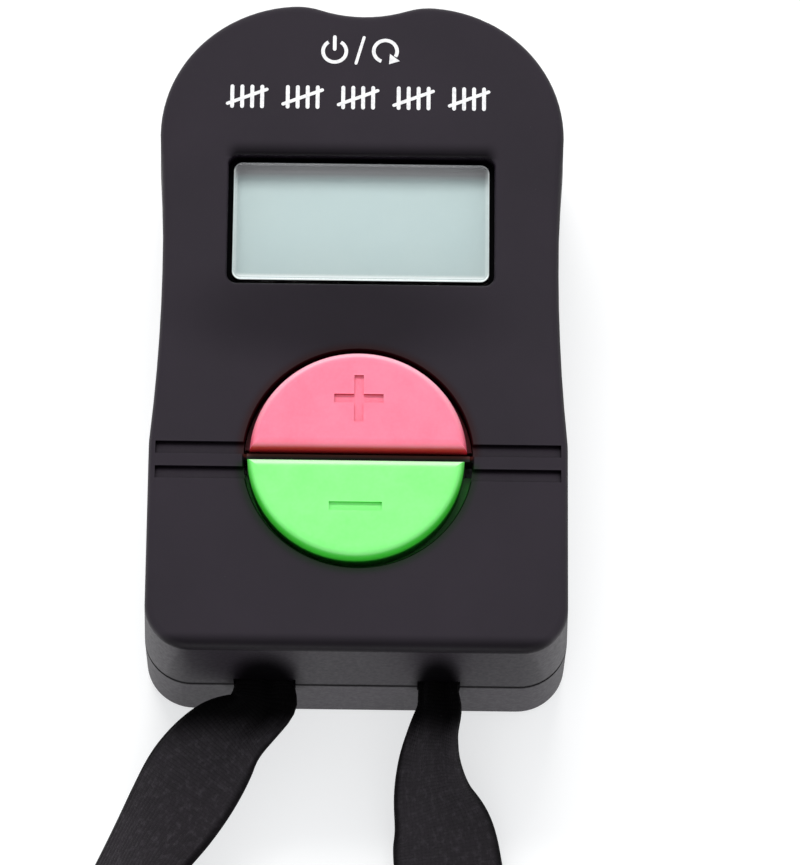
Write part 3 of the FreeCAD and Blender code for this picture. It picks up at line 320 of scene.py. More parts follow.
def key_painted_light(mat, colour, flank, rim, sunk):
    """Painted light on a key: painted shade on the flanks, a painted highlight on the +Y rim,
    painted shade below the face.
    """
    sunk_level = 17.5
    rim_strength = 0.85

    normal = mat.axes(mat.geometry("Normal"))
    # painted shade on flanks that slope away from the +Y light
    slope = normal.z.ramp(0.93, 0.45, smooth=True)
    steep = normal.z.ramp(0.40, 0.10)
    away = normal.y.ramp(0.45, -0.35)
    colour = mat.mix((slope * away).max(steep), colour, flank)
    # painted highlight on the fillet that faces the +Y light
    lit = normal.y.ramp(0.10, 0.55) * normal.z.ramp(0.985, 0.88)
    lit = lit * normal.z.ramp(0.25, 0.50)
    colour = mat.mix(lit * rim_strength, colour, rim)
    # painted shade below the face, inside the key opening
    low = mat.axes().z.ramp(sunk_level - 0.25, sunk_level + 0.15, to=(1.0, 0.0))
    return mat.mix(low, colour, sunk)


def moulded(name, dark, light, roughness, grain, depth, mottle=0.10, specular=0.5,
            worn=None, wear=0.35, dust=0.0, key_light_and_shade=None, crevice_shade_reach=None, wall_specular=None,
            bounce=None, shade=None, scatter=0.0, scatter_radius=(1.0, 0.3, 0.3),
            scatter_scale=0.5):
    """Injection-moulded plastic: cloudy colour, spark-eroded grain, uneven roughness.

    dark, light    the two colours it clouds between
    grain, depth   size and depth of the surface grain; mottle is the scale of the clouds
    worn, wear     colour of rubbed edges and how strongly it shows
    dust           strength of pale specks
    tints          a key's painted light: flank and sunk colours are painted shade, the rim colour a painted highlight
    crowding       reach of the painted shade where neighbouring surfaces crowd in
    wall_specular  share of the reflection that upright walls keep; the walls also get painted
    shade bounce, shade  functions that add painted tinted light and painted shade
    scatter...     weight, radius and scale of the subsurface light
    """
    mat = Material(name)
    cloud = mat.noise(scale=mottle, detail=3.0, roughness=0.55)
    fine = mat.noise(scale=2.6, detail=3.0, roughness=0.6)
    tone = (cloud * 0.65 + fine * 0.35).ramp(0.34, 0.66)
    colour = mat.mix(tone, dark, light)
    grain_noise = mat.noise(scale=1.0 / grain, detail=3.0, roughness=0.62)
    pits = mat.voronoi(scale=0.75 / grain, feature="SMOOTH_F1")
    height = grain_noise * 0.7 + pits * 0.3
    gloss = fine.ramp(0.3, 0.7, to=roughness)
    level = specular

    if worn is not None:
        edge = mat.edge(radius=0.35)
        patchy = mat.noise(scale=0.55, detail=4.0, roughness=0.65).ramp(0.42, 0.62)
        rubbed = edge * patchy * wear
        colour = mat.mix(rubbed, colour, worn)
        gloss = mat.mix_value(rubbed, gloss, roughness[0] * 0.7)
    if dust:
        specks = mat.voronoi(scale=1.3).ramp(0.0, 0.05, to=(1.0, 0.0))
        sparse = mat.noise(scale=0.8).ramp(0.6, 0.68)
        colour = mat.mix(specks * sparse * dust, colour, (0.25, 0.24, 0.23))
    if key_light_and_shade is not None:
        # painted shade on the key's flanks and below the face, painted highlight on its +Y rim
        colour = key_painted_light(mat, colour, **key_light_and_shade)
    if crevice_shade_reach is not None:
        # painted shade where neighbouring surfaces crowd in
        openness = mat.openness(crevice_shade_reach)
        colour = mat.mix(openness, scaled(dark, 0.12), colour)
        level = openness * specular
    if wall_specular is not None:
        # walls other than the bottom end reflect less than the face and get painted shade,
        # heaviest on walls facing +X
        normal = mat.axes(mat.geometry("Normal"))
        wall = normal.z.ramp(0.93, 0.30) * normal.y.ramp(-0.55, -0.05)
        turn = normal.x.ramp(-0.9, 0.9, to=(2.6, 0.75))
        level = level * mat.mix_value(wall, 1.0, turn * wall_specular)
        darker = wall * normal.x.ramp(-0.9, 0.9, to=(0.1, 0.75))
        colour = mat.mix(darker, colour, scaled(dark, 0.35))
    if bounce is not None:
        colour = bounce(mat, colour)
    if shade is not None:
        # painted shade in the given zones, which also lose their reflection
        dim = shade(mat)
        colour = mat.mix(dim, colour, scaled(dark, 0.04))
        level = level * dim.ramp(0.0, 1.0, to=(1.0, 0.05))

    mat.set("Base Color", colour)
    mat.set("Roughness", gloss)
    mat.set("IOR", 1.5)
    mat.set("Specular IOR Level", level)
    if scatter:
        mat.set("Subsurface Weight", scatter)
        mat.set("Subsurface Radius", scatter_radius)
        mat.set("Subsurface Scale", scatter_scale * MM)
    mat.set("Normal", mat.bump(height, depth))
    return mat.material


# ------------------------------------------------------------------ display materials
def lens_acrylic():
    """Clear acrylic with a painted glow on its rim; lets light straight through to the display.
    """
    mat = Material("lens_acrylic")
    mat.set("Base Color", (0.98, 1.0, 0.995))
    mat.set("Transmission Weight", 1.0)
    mat.set("IOR", 1.46)
    frosting = mat.noise(scale=0.5, detail=3.0)
    mat.set("Roughness", frosting.ramp(0.35, 0.7, to=(0.012, 0.05)))
    mat.set("Normal", mat.bump(mat.noise(scale=0.22), depth=0.004))

    # shadow and diffuse rays pass straight through
    clear = mat.add("ShaderNodeBsdfTransparent", 0, {"Color": (0.97, 0.985, 0.98)})
    path = mat.node("ShaderNodeLightPath")
    indirect = mat.output(path, "Is Shadow Ray").max(mat.output(path, "Is Diffuse Ray"))
    acrylic = mat.mix_shader(indirect, mat.shader, clear)

    # the flange round the raised block is black; the block's upright flanks seen from outside
    # carry painted shade
    geometry = mat.node("ShaderNodeNewGeometry")
    normal = mat.axes(mat.output(geometry, "True Normal"))
    flange = mat.axes().z.ramp(16.05, 16.15, to=(1.0, 0.0)) * normal.z.ramp(0.80, 0.90)
    flank = normal.z.ramp(0.12, 0.06) * mat.axes().z.ramp(15.75, 15.80)
    outside = 1.0 - mat.output(geometry, "Backfacing")
    mask = flange.max(flank * 0.9) * outside
    black_flange_and_shade = mat.add("ShaderNodeBsdfDiffuse", 0, {"Color": (0.004, 0.004, 0.0045)})
    body = mat.mix_shader(mask, acrylic, black_flange_and_shade)

    # painted glow: the rounded rim of the raised block and its -Y and side edges give off light,
    # in place of the light that runs inside the acrylic
    normal = mat.axes(mat.geometry("True Normal"))
    slant = normal.z.ramp(0.98, 0.90) * normal.z.ramp(0.02, 0.20)
    facing = normal.y.ramp(0.25, -0.35, to=(0.10, 1.0))
    x, y, z = mat.axes()
    low_edge = y.ramp(4.95, 4.50, smooth=True) * 0.75
    side_edge = abs(x).ramp(11.27, 11.57, smooth=True) * y.ramp(15.2, 13.5, to=(0.05, 0.36))
    on_top = normal.z.ramp(0.98, 0.99) * z.ramp(16.8, 16.9)
    inner = low_edge.max(side_edge) * on_top
    glow = mat.add("ShaderNodeEmission", 0, {"Color": (0.93, 1.0, 0.99), "Strength": 0.97})
    mat.show(mat.mix_shader((slant * facing * 0.8).max(inner), body, glow))
    return mat.material


def display_glass():
    """A thin sheet: tints what lies behind it and adds a weak reflection."""
    tint = (0.985, 0.995, 0.99)
    reflection = 0.02
    mat = Material("display_glass")
    streaks = mat.noise(scale=0.7, detail=3.0, vector=mat.stretch((1.0, 6.0, 1.0)))
    shade = streaks.ramp(0.3, 0.7, to=(0.98, 1.0))
    clear = mat.add("ShaderNodeBsdfTransparent", 0,
                    {"Color": mat.mix(shade, scaled(tint, 0.9), tint)})
    mat.set("Base Color", (0.02, 0.02, 0.02))
    mat.set("Roughness", 0.12)
    mat.show(mat.mix_shader(reflection, clear, mat.shader))
    return mat.material


def display_sheet(name, pale, tint, shadow_colour=None):
    """A blank grey-green display layer, faintly clouded, with a fine sparkle.

    band is a painted shadow: the colour of the strip at the +Y end, where the window's edge
    shades the display.
    """
    band_y, band_blur = 15.05, 0.45
    mat = Material(name)
    cloud = mat.noise(scale=0.16, detail=3.0)
    sparkle = mat.noise(scale=9.0, roughness=0.6)
    base = mat.mix(cloud.ramp(0.3, 0.7), pale, tint)
    # painted shadow along the +Y end, where the window's edge shades the display
    if shadow_colour is not None:
        in_shadow = mat.axes().y.ramp(band_y - band_blur, band_y + band_blur, smooth=True)
        base = mat.mix(in_shadow, base, shadow_colour)
    glitter = sparkle.ramp(0.35, 0.75, to=(0.0, 0.06))
    mat.set("Base Color", mat.mix(glitter, base, (0.78, 0.88, 0.87)))
    mat.set("Roughness", cloud.ramp(0.3, 0.7, to=(0.42, 0.55)))
    mat.set("Normal", mat.bump(sparkle, depth=0.003))
    return mat.material


# ------------------------------------------------------------------ ribbon, ink, metal, board
def ribbon_weave():
    """Black ribbon in plain weave; the UV map holds mm, u across and v along."""
    warp_pitch, weft_pitch = 0.40, 0.34
    mat = Material("ribbon_weave")
    uv = mat.axes(mat.add("ShaderNodeTexCoord", "UV"))
    wobble = (mat.noise(scale=1.1) - 0.5) * 0.16
    u = uv.x + wobble
    v = uv.y + wobble
    warp, weft = u / warp_pitch, v / weft_pitch
    warp_part, weft_part = warp.op("FRACT"), weft.op("FRACT")
    warp_index, weft_index = warp.op("FLOOR"), weft.op("FLOOR")
    over = abs((warp_index + weft_index) % 2.0)

    def hump(part):
        """The rounded back of a thread: 0 at both sides, 1 in the middle."""
        offset = part * 2.0 - 1.0
        return 1.0 - offset * offset

    def raised(thread, crossing):
        return thread ** 0.6 * (0.45 + crossing * 0.55)

    warp_hump, weft_hump = hump(warp_part), hump(weft_part)
    weave = mat.mix_value(over, raised(warp_hump, weft_hump), raised(weft_hump, warp_hump))
    fibre = mat.noise(scale=1.0, detail=3.0, roughness=0.7,
                      vector=mat.combine(u * 14.0, v * 5.0, 0.0))
    height = weave * 0.8 + fibre * 0.35
    tone = mat.add("ShaderNodeTexWhiteNoise", "Value",
                   {"Vector": mat.combine(warp_index, weft_index, over)},
                   noise_dimensions="3D")

    # colour: clouded black, painted shade in the gaps between threads, uneven threads, pale
    # flecks
    dusty = mat.noise(scale=0.16, detail=4.0, roughness=0.6)
    base = mat.mix(dusty.ramp(0.3, 0.72), (0.0085, 0.0068, 0.0088), (0.0165, 0.0135, 0.0170))
    base = mat.mix(weave.ramp(0.05, 0.75, to=(0.55, 0.0)), base, (0.0035, 0.0030, 0.0038))
    base = mat.mix(tone * 0.28, base, (0.026, 0.022, 0.027))
    flecks = mat.noise(scale=1.5, detail=4.0, roughness=0.72,
                       vector=mat.combine(u * 1.0, v * 0.8, 0.0)).ramp(0.50, 0.70)
    base = mat.mix(flecks * 0.70, base, (0.038, 0.033, 0.040))

    # darker along the selvedges, and painted shade where the ribbon is gathered into the slots
    selvedge = abs(uv.x).ramp(4.3, 4.95, to=(0.0, 0.75), smooth=True)
    gathered = mat.axes().y.ramp(-37.6, -34.2, to=(0.0, 0.97), smooth=True)
    dark = selvedge.max(gathered)
    base = mat.mix(dark, base, (0.0008, 0.0007, 0.0008))
    specks = mat.voronoi(scale=0.9).ramp(0.0, 0.06, to=(1.0, 0.0))
    lint = specks * mat.noise(scale=1.9).ramp(0.52, 0.66)
    mat.set("Base Color", mat.mix(lint * 0.55, base, (0.13, 0.12, 0.13)))
    mat.set("Roughness", tone.ramp(0.0, 1.0, to=(0.66, 0.86)))
    mat.set("IOR", 1.42)
    mat.set("Specular IOR Level", dark.ramp(0.0, 1.0, to=(0.30, 0.03)))
    mat.set("Sheen Weight", dark.ramp(0.0, 1.0, to=(0.14, 0.01)))
    mat.set("Sheen Roughness", 0.45)
    mat.set("Sheen Tint", (0.55, 0.50, 0.56))
    mat.set("Normal", mat.bump(height, depth=0.075, strength=0.9))
    return mat.material


def printed_ink():
    mat = Material("printed_ink")
    worn = mat.noise(scale=3.5, detail=4.0, roughness=0.65)
    mat.set("Base Color", mat.mix(worn.ramp(0.35, 0.6), (0.66, 0.66, 0.68), (0.86, 0.86, 0.87)))
    mat.set("Roughness", worn.ramp(0.3, 0.7, to=(0.42, 0.58)))
    mat.set("Normal", mat.bump(mat.noise(scale=6.0, detail=3.0, roughness=0.6), depth=0.006))
    return mat.material


def metal(name, colour, roughness, brushed=(1, 14, 1)):
    """Stained metal with bright edges; brushed sets how far the brush lines are squeezed."""
    mat = Material(name)
    lines = mat.noise(scale=2.2, detail=4.0, roughness=0.65, vector=mat.stretch(brushed))
    stain = mat.noise(scale=0.35, detail=3.0, roughness=0.55)
    base = mat.mix(stain.ramp(0.3, 0.75), scaled(colour, 0.78), colour)
    bright = tuple(min(1.0, channel * 1.25) for channel in colour)
    mat.set("Base Color", mat.mix(mat.edge(radius=0.15) * 0.4, base, bright))
    mat.set("Metallic", 1.0)
    mat.set("Roughness", lines.ramp(0.3, 0.7, to=roughness))
    mat.set("Normal", mat.bump(lines, depth=0.004, strength=0.5))
    return mat.material


def solder_mask():
    """Green board lacquer over a glass weave, with raised paler tracks."""
    weave_rate = 9.0
    mat = Material("solder_mask")
    weave = ((mat.axes().x * weave_rate).op("SINE")
             * (mat.axes().y * weave_rate).op("SINE"))
    tracks = mat.voronoi(scale=0.35, feature="DISTANCE_TO_EDGE", randomness=0.6,
                         vector=mat.stretch((1.0, 1.0, 0.0)))
    lane = tracks.ramp(0.05, 0.075, to=(1.0, 0.0))
    base = mat.mix(weave.ramp(-1.0, 1.0), (0.012, 0.105, 0.040), (0.016, 0.130, 0.048))
    mat.set("Base Color", mat.mix(lane * 0.7, base, (0.030, 0.205, 0.075)))
    mat.set("Roughness", mat.noise(scale=1.4).ramp(0.3, 0.7, to=(0.20, 0.34)))
    mat.set("Normal", mat.bump(lane + weave * 0.06, depth=0.03))
    return mat.material


def zebra_rubber():
    """Rubber connector striped black and grey along X."""
    stripe_pitch = 0.36
    mat = Material("zebra_rubber")
    stripe = (mat.axes().x * (2 * math.pi / stripe_pitch)).op("SINE")
    mat.set("Base Color", mat.mix(stripe.ramp(-0.2, 0.2), (0.012, 0.012, 0.013),
                                  (0.36, 0.37, 0.38)))
    mat.set("Roughness", 0.62)
    mat.set("Normal", mat.bump(mat.noise(scale=5.0), depth=0.006))
    return mat.material


def chip_ceramic():
    mat = Material("chip_parts")
    cloud = mat.noise(scale=1.1, detail=3.0)
    mat.set("Base Color", mat.mix(cloud.ramp(0.35, 0.65), (0.20, 0.14, 0.085),
                                  (0.34, 0.25, 0.16)))
    mat.set("Roughness", 0.38)
    mat.set("Normal", mat.bump(mat.noise(scale=7.0), depth=0.006))
    return mat.material


# ------------------------------------------------------------------ the materials in use
BLACK = {"dark": (0.0108, 0.0068, 0.0128), "light": (0.0150, 0.0096, 0.0172),
         "worn": (0.060, 0.056, 0.062)}
KEY = {"roughness": (0.38, 0.48), "grain": 0.14, "depth": 0.003, "mottle": 0.35,
       "wear": 0.25, "scatter": 0.25, "scatter_scale": 0.7}

MATERIALS = {
    # painted shade in crevices, on the walls and in set zones, and painted light from the keys
    "case": moulded(
        "case_plastic", **BLACK, roughness=(0.44, 0.56), grain=0.20, depth=0.0075, wear=0.12,
        dust=0.5, specular=0.42, crevice_shade_reach=1.6, wall_specular=0.12, bounce=key_bounce,
        shade=painted_shade_zones),
    # painted shade on the walls and in set zones
    "case_back": moulded(
        "back_plastic", **BLACK, roughness=(0.50, 0.62), grain=0.26, depth=0.011, wear=0.25,
        dust=0.6, wall_specular=0.35, shade=painted_shade_zones),
    "cover": moulded(
        "cover_plastic", **BLACK, roughness=(0.42, 0.52), grain=0.16, depth=0.006, wear=0.9),
    "pink": moulded(
        "plus_plastic", (0.93, 0.192, 0.294), (0.97, 0.230, 0.340), **KEY,
        worn=(0.99, 0.40, 0.52), scatter_radius=(1.0, 0.22, 0.26),
        # flank and sunk colours are painted shade, the rim colour a painted highlight
        key_light_and_shade={"flank": (0.46, 0.010, 0.022), "rim": (1.0, 0.50, 0.60),
               "sunk": (0.110, 0.0015, 0.006)}),
    "green": moulded(
        "minus_plastic", (0.222, 0.90, 0.208), (0.266, 0.95, 0.257), **KEY,
        worn=(0.42, 0.97, 0.40), scatter_radius=(0.25, 1.0, 0.25),
        # flank and sunk colours are painted shade, the rim colour a painted highlight
        key_light_and_shade={"flank": (0.045, 0.56, 0.034), "rim": (0.62, 1.0, 0.62),
               "sunk": (0.003, 0.150, 0.006)}),
    "reset": moulded(
        "reset_plastic", (0.25, 0.25, 0.26), (0.31, 0.31, 0.32), roughness=(0.36, 0.46),
        grain=0.12, depth=0.003, scatter=0.05, worn=(0.5, 0.5, 0.5)),
    "switch": moulded(
        "switch_plastic", (0.012, 0.012, 0.013), (0.02, 0.02, 0.021), roughness=(0.35, 0.45),
        grain=0.1, depth=0.003),
    "plunger": moulded(
        "plunger_plastic", (0.72, 0.71, 0.68), (0.80, 0.79, 0.76), roughness=(0.3, 0.4),
        grain=0.1, depth=0.002, scatter=0.1),
    "silicone": moulded(
        "silicone", (0.50, 0.51, 0.52), (0.58, 0.59, 0.60), roughness=(0.5, 0.6),
        grain=0.3, depth=0.004, scatter=0.3, scatter_radius=(1, 1, 1), scatter_scale=0.8),
    "carbon": moulded(
        "carbon_pill", (0.012, 0.012, 0.012), (0.022, 0.022, 0.022), roughness=(0.55, 0.7),
        grain=0.12, depth=0.006),
    "epoxy": moulded(
        "potting_epoxy", (0.006, 0.006, 0.007), (0.011, 0.011, 0.012), roughness=(0.14, 0.26),
        grain=0.7, depth=0.02),
    "lens": lens_acrylic(),
    "glass": display_glass(),
    # the display face carries a painted shadow along its +Y end
    "polariser": display_sheet("display_face", pale=(0.435, 0.528, 0.540),
                               tint=(0.462, 0.549, 0.557), shadow_colour=(0.365, 0.346, 0.364)),
    "reflector": display_sheet("display_reflector", pale=(0.500, 0.655, 0.640),
                               tint=(0.545, 0.690, 0.680)),
    "fabric": ribbon_weave(),
    "ink": printed_ink(),
    "screw": metal("screw_steel", (0.46, 0.46, 0.47), roughness=(0.28, 0.44)),
    "cell": metal("cell_steel", (0.66, 0.65, 0.62), roughness=(0.18, 0.30), brushed=(1, 1, 8)),
    "leaf": metal("leaf_steel", (0.64, 0.62, 0.56), roughness=(0.22, 0.34)),
    "gold": metal("gold_pads", (0.83, 0.58, 0.22), roughness=(0.20, 0.32)),
    "board": solder_mask(),
    "zebra": zebra_rubber(),
    "ceramic": chip_ceramic(),
}

# which material each loaded piece wears
LOOK = {
    "front_shell": "case", "rear_shell": "case_back", "battery_cover": "cover",
    "display_lens": "lens", "lcd_front_polariser": "polariser", "lcd_front_glass": "glass",
    "lcd_rear_glass": "glass", "lcd_reflector": "reflector", "zebra_connector": "zebra",
    "circuit_board": "board", "chip_blob": "epoxy", "chip_components": "ceramic",
    "contact_pads": "gold", "plus_key": "pink", "minus_key": "green",
    "key_membrane": "silicone", "plus_contact_pill": "carbon", "minus_contact_pill": "carbon",
    "reset_button": "reset", "reset_switch_body": "switch", "reset_switch_plunger": "plunger",
    "button_cell": "cell", "cell_negative_contact": "leaf", "cell_positive_contact": "leaf",
    "case_screws": "screw", "board_screws": "screw",
    "strap_anchor": "fabric", "strap_loop": "fabric",
}
for name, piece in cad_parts.items():
    piece.data.materials.clear()
    piece.data.materials.append(MATERIALS[LOOK[name]])


# ------------------------------------------------------------------ helpers for new pieces
def mesh_object(name, verts, faces, material, smooth=False, uvs=None):
    """A mesh from points in millimetres, with one UV pair per vertex if given."""
    mesh = bpy.data.meshes.new(name)
    mesh.from_pydata([(x * MM, y * MM, z * MM) for x, y, z in verts], [], faces)
    mesh.materials.append(material)
    if uvs is not None:
        layer = mesh.uv_layers.new(name="UVMap")
        for loop in mesh.loops:
            layer.data[loop.index].uv = uvs[loop.vertex_index]
    mesh.polygons.foreach_set("use_smooth", [smooth] * len(mesh.polygons))
    mesh.update()
    piece = bpy.data.objects.new(name, mesh)
    bpy.context.scene.collection.objects.link(piece)
    return piece


def solid(*args, **kwargs):
    """A mesh object with all its normals turned outward."""
    piece = mesh_object(*args, **kwargs)
    edit = bmesh.new()
    edit.from_mesh(piece.data)
    bmesh.ops.recalc_face_normals(edit, faces=edit.faces)
    edit.to_mesh(piece.data)
    edit.free()
    return piece


# ------------------------------------------------------------------ printed marks
FACE_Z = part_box("front_shell")[1].z / MM
PRINT_BOTTOM = FACE_Z - 0.004
PRINT_TOP = FACE_Z + 0.022


class Print:
    """Thin raised shapes on the face, gathered into one mesh."""

    def __init__(self):
        self.verts = []
        self.faces = []

    def polygon(self, outline, bottom=PRINT_BOTTOM, top=PRINT_TOP):
        """A closed upright prism over a simple polygon."""
        n, base = len(outline), len(self.verts)
        self.verts += [(x, y, bottom) for x, y in outline] + [(x, y, top) for x, y in outline]
        self.faces.append(tuple(base + n + i for i in range(n)))
        self.faces.append(tuple(base + n - 1 - i for i in range(n)))
        for i in range(n):
            j = (i + 1) % n
            self.faces.append((base + i, base + j, base + n + j, base + n + i))

    def stroke(self, start, end, width, cap_steps=5, **levels):
        """A straight stroke with rounded ends."""
        angle = math.atan2(end[1] - start[1], end[0] - start[0])
        outline = []
        for (x, y), first in ((end, angle - math.pi / 2), (start, angle + math.pi / 2)):
            for i in range(cap_steps + 1):
                turn = first + math.pi * i / cap_steps
                outline.append((x + width / 2 * math.cos(turn), y + width / 2 * math.sin(turn)))
        self.polygon(outline, **levels)

    def arc(self, centre, radius, width, start, end, steps=40):
        """An arc band between two angles in degrees, in quads so that no face is concave."""
        base = len(self.verts)
        start, end = math.radians(start), math.radians(end)
        for i in range(steps + 1):
            turn = start + (end - start) * i / steps
            for z in (PRINT_BOTTOM, PRINT_TOP):
                for r in (radius - width / 2, radius + width / 2):
                    self.verts.append((centre[0] + r * math.cos(turn),
                                       centre[1] + r * math.sin(turn), z))
        for i in range(steps):
            a, b = base + 4 * i, base + 4 * (i + 1)
            self.faces += [(a + 2, a + 3, b + 3, b + 2), (a, b, b + 1, a + 1),
                           (a + 1, b + 1, b + 3, a + 3), (a, a + 2, b + 2, b)]
        last = base + 4 * steps
        self.faces += [(base, base + 1, base + 3, base + 2),
                       (last, last + 2, last + 3, last + 1)]

    def build(self, name):
        piece = solid(name, self.verts, self.faces, MATERIALS["ink"])
        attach(piece, "case")


def print_tally():
    """Five tally groups above the display: four uprights and a slanting stroke each."""
    groups, centre_x, centre_y, pitch = 5, -0.42, 22.10, 5.12
    height, width, step = 2.35, 0.36, 0.92
    overhang, slant_rise = 0.42, 0.72           # slanting stroke: past the uprights, up and down
    marks = Print()
    for group in range(groups):
        group_x = centre_x + (group - 2) * pitch
        for k in range(4):
            x = group_x + (k - 1.5) * step
            marks.stroke((x, centre_y - height / 2 + width / 2),
                         (x, centre_y + height / 2 - width / 2), width)
        marks.stroke((group_x - 1.5 * step - overhang, centre_y - slant_rise),
                     (group_x + 1.5 * step + overhang, centre_y + slant_rise), width * 0.9,
                     bottom=PRINT_BOTTOM - 0.001, top=PRINT_TOP + 0.006)
    marks.build("print_tally_marks")


def print_power_reset():
    """Power mark on the left, a slanting divider and a reset arrow on the right."""
    middle_x, middle_y, offset = -0.30, 26.85, 2.35
    radius, width = 1.08, 0.34
    marks = Print()

    power_x = middle_x - offset
    marks.arc((power_x, middle_y - 0.12), radius, width, start=122, end=418)
    marks.stroke((power_x, middle_y + 0.10), (power_x, middle_y + 1.32), width)

    marks.stroke((middle_x - 0.36, middle_y - 1.30), (middle_x + 0.36, middle_y + 1.30),
                 width=0.28)

    reset_x, reset_y = middle_x + offset, middle_y - 0.05
    marks.arc((reset_x, reset_y), radius, width, start=-30, end=250)
    angle = math.radians(-38)
    cos, sin = math.cos(angle), math.sin(angle)
    head_x, head_y = reset_x + radius * cos, reset_y + radius * sin

    def head_point(across, along):
        return (head_x + cos * across + sin * along, head_y + sin * across - cos * along)

    marks.polygon([head_point(0.58, -0.05), head_point(0.0, 0.82), head_point(-0.58, -0.05)])
    marks.build("print_power_reset_marks")


print_tally()
print_power_reset()


# ------------------------------------------------------------------ silicone membrane
# The mat stays on the board; each dome is a piece of its own.
MAT_BOTTOM, MAT_TOP, DOME_TOP = 10.8, 11.6, 13.9
DOME_OFFSET = 4.6                   # from the middle of the key opening, along Y
DOMES = (("plus", KEYS_Y + DOME_OFFSET), ("minus", KEYS_Y - DOME_OFFSET))
MAT_HOLE_RADIUS = 4.52
MAT_CORNER_RADIUS = 1.5
# centres of the mat's rounded corners, and where each quarter arc starts (times pi)
MAT_CORNERS = ((10.5, -4.9, 0.0), (-10.5, -4.9, 0.5), (-10.5, -21.2, 1.0), (10.5, -21.2, 1.5))
# radius, z; from the axis at the underside, out round the foot, back to the axis on top
DOME_PROFILE = (
    (0.0, 12.45), (2.9, 12.45), (3.85, MAT_BOTTOM), (4.55, MAT_BOTTOM), (4.55, MAT_TOP),
    (4.25, MAT_TOP), (3.4, 13.1), (3.4, 13.75), (3.25, DOME_TOP), (0.0, DOME_TOP),
)


def circle_points(centre_x, centre_y, radius, count):
    return [(centre_x + radius * math.cos(2 * math.pi * i / count),
             centre_y + radius * math.sin(2 * math.pi * i / count)) for i in range(count)]


def plate_with_holes(name, outline, holes, bottom, top, material):
    """A flat sheet with a convex outline and round holes, closed all round."""
    points, edges = [], []
    for loop in [outline] + [circle_points(*hole, 64) for hole in holes]:
        base = len(points)
        points += loop
        edges += [(base + i, base + (i + 1) % len(loop)) for i in range(len(loop))]
    triangles = delaunay_2d_cdt([Vector(p) for p in points], edges, [], 0, 1e-7)[2]
    kept = []
    for triangle in triangles:
        x = sum(points[i][0] for i in triangle) / len(triangle)
        y = sum(points[i][1] for i in triangle) / len(triangle)
        if all(math.hypot(x - hole_x, y - hole_y) > r * 0.998 for hole_x, hole_y, r in holes):
            kept.append(tuple(triangle))
    n = len(points)
    verts = [(x, y, bottom) for x, y in points] + [(x, y, top) for x, y in points]
    faces = [tuple(i + n for i in f) for f in kept] + [tuple(reversed(f)) for f in kept]
    faces += [(i, j, j + n, i + n) for i, j in edges]
    return solid(name, verts, faces, material)


def lathe(name, profile, centre_x, centre_y, material, count=72):
    """A body turned about an upright axis; the profile starts and ends on the axis."""
    verts, faces, rings = [], [], []
    for radius, z in profile:
        if radius == 0.0:
            rings.append([len(verts)])
            verts.append((centre_x, centre_y, z))
        else:
            rings.append(list(range(len(verts), len(verts) + count)))
            verts += [(x, y, z) for x, y in circle_points(centre_x, centre_y, radius, count)]
    for a, b in zip(rings, rings[1:]):
        for i in range(count):
            j = (i + 1) % count
            if len(a) == 1:
                faces.append((a[0], b[i], b[j]))
            elif len(b) == 1:
                faces.append((a[i], b[0], a[j]))
            else:
                faces.append((a[i], b[i], b[j], a[j]))
    return solid(name, verts, faces, material)


def membrane():
    silicone = MATERIALS["silicone"]
    outline = []
    for x, y, start in MAT_CORNERS:
        for k in range(7):
            angle = math.pi * (start + k / 12)
            outline.append((x + MAT_CORNER_RADIUS * math.cos(angle),
                            y + MAT_CORNER_RADIUS * math.sin(angle)))
    holes = [(0.0, y, MAT_HOLE_RADIUS) for _, y in DOMES]
    mat = plate_with_holes("membrane_mat", outline, holes, MAT_BOTTOM, MAT_TOP, silicone)
    domes = [lathe("membrane_%s_dome" % side, DOME_PROFILE, 0.0, y, silicone)
             for side, y in DOMES]
    for piece in [mat] + domes:
        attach(piece, "case")
        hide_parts("key_membrane")
    for (side, y), dome in zip(DOMES, domes):
        side + "_press"
        tuple(mm(0, y, MAT_TOP))
        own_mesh(dome)


membrane()

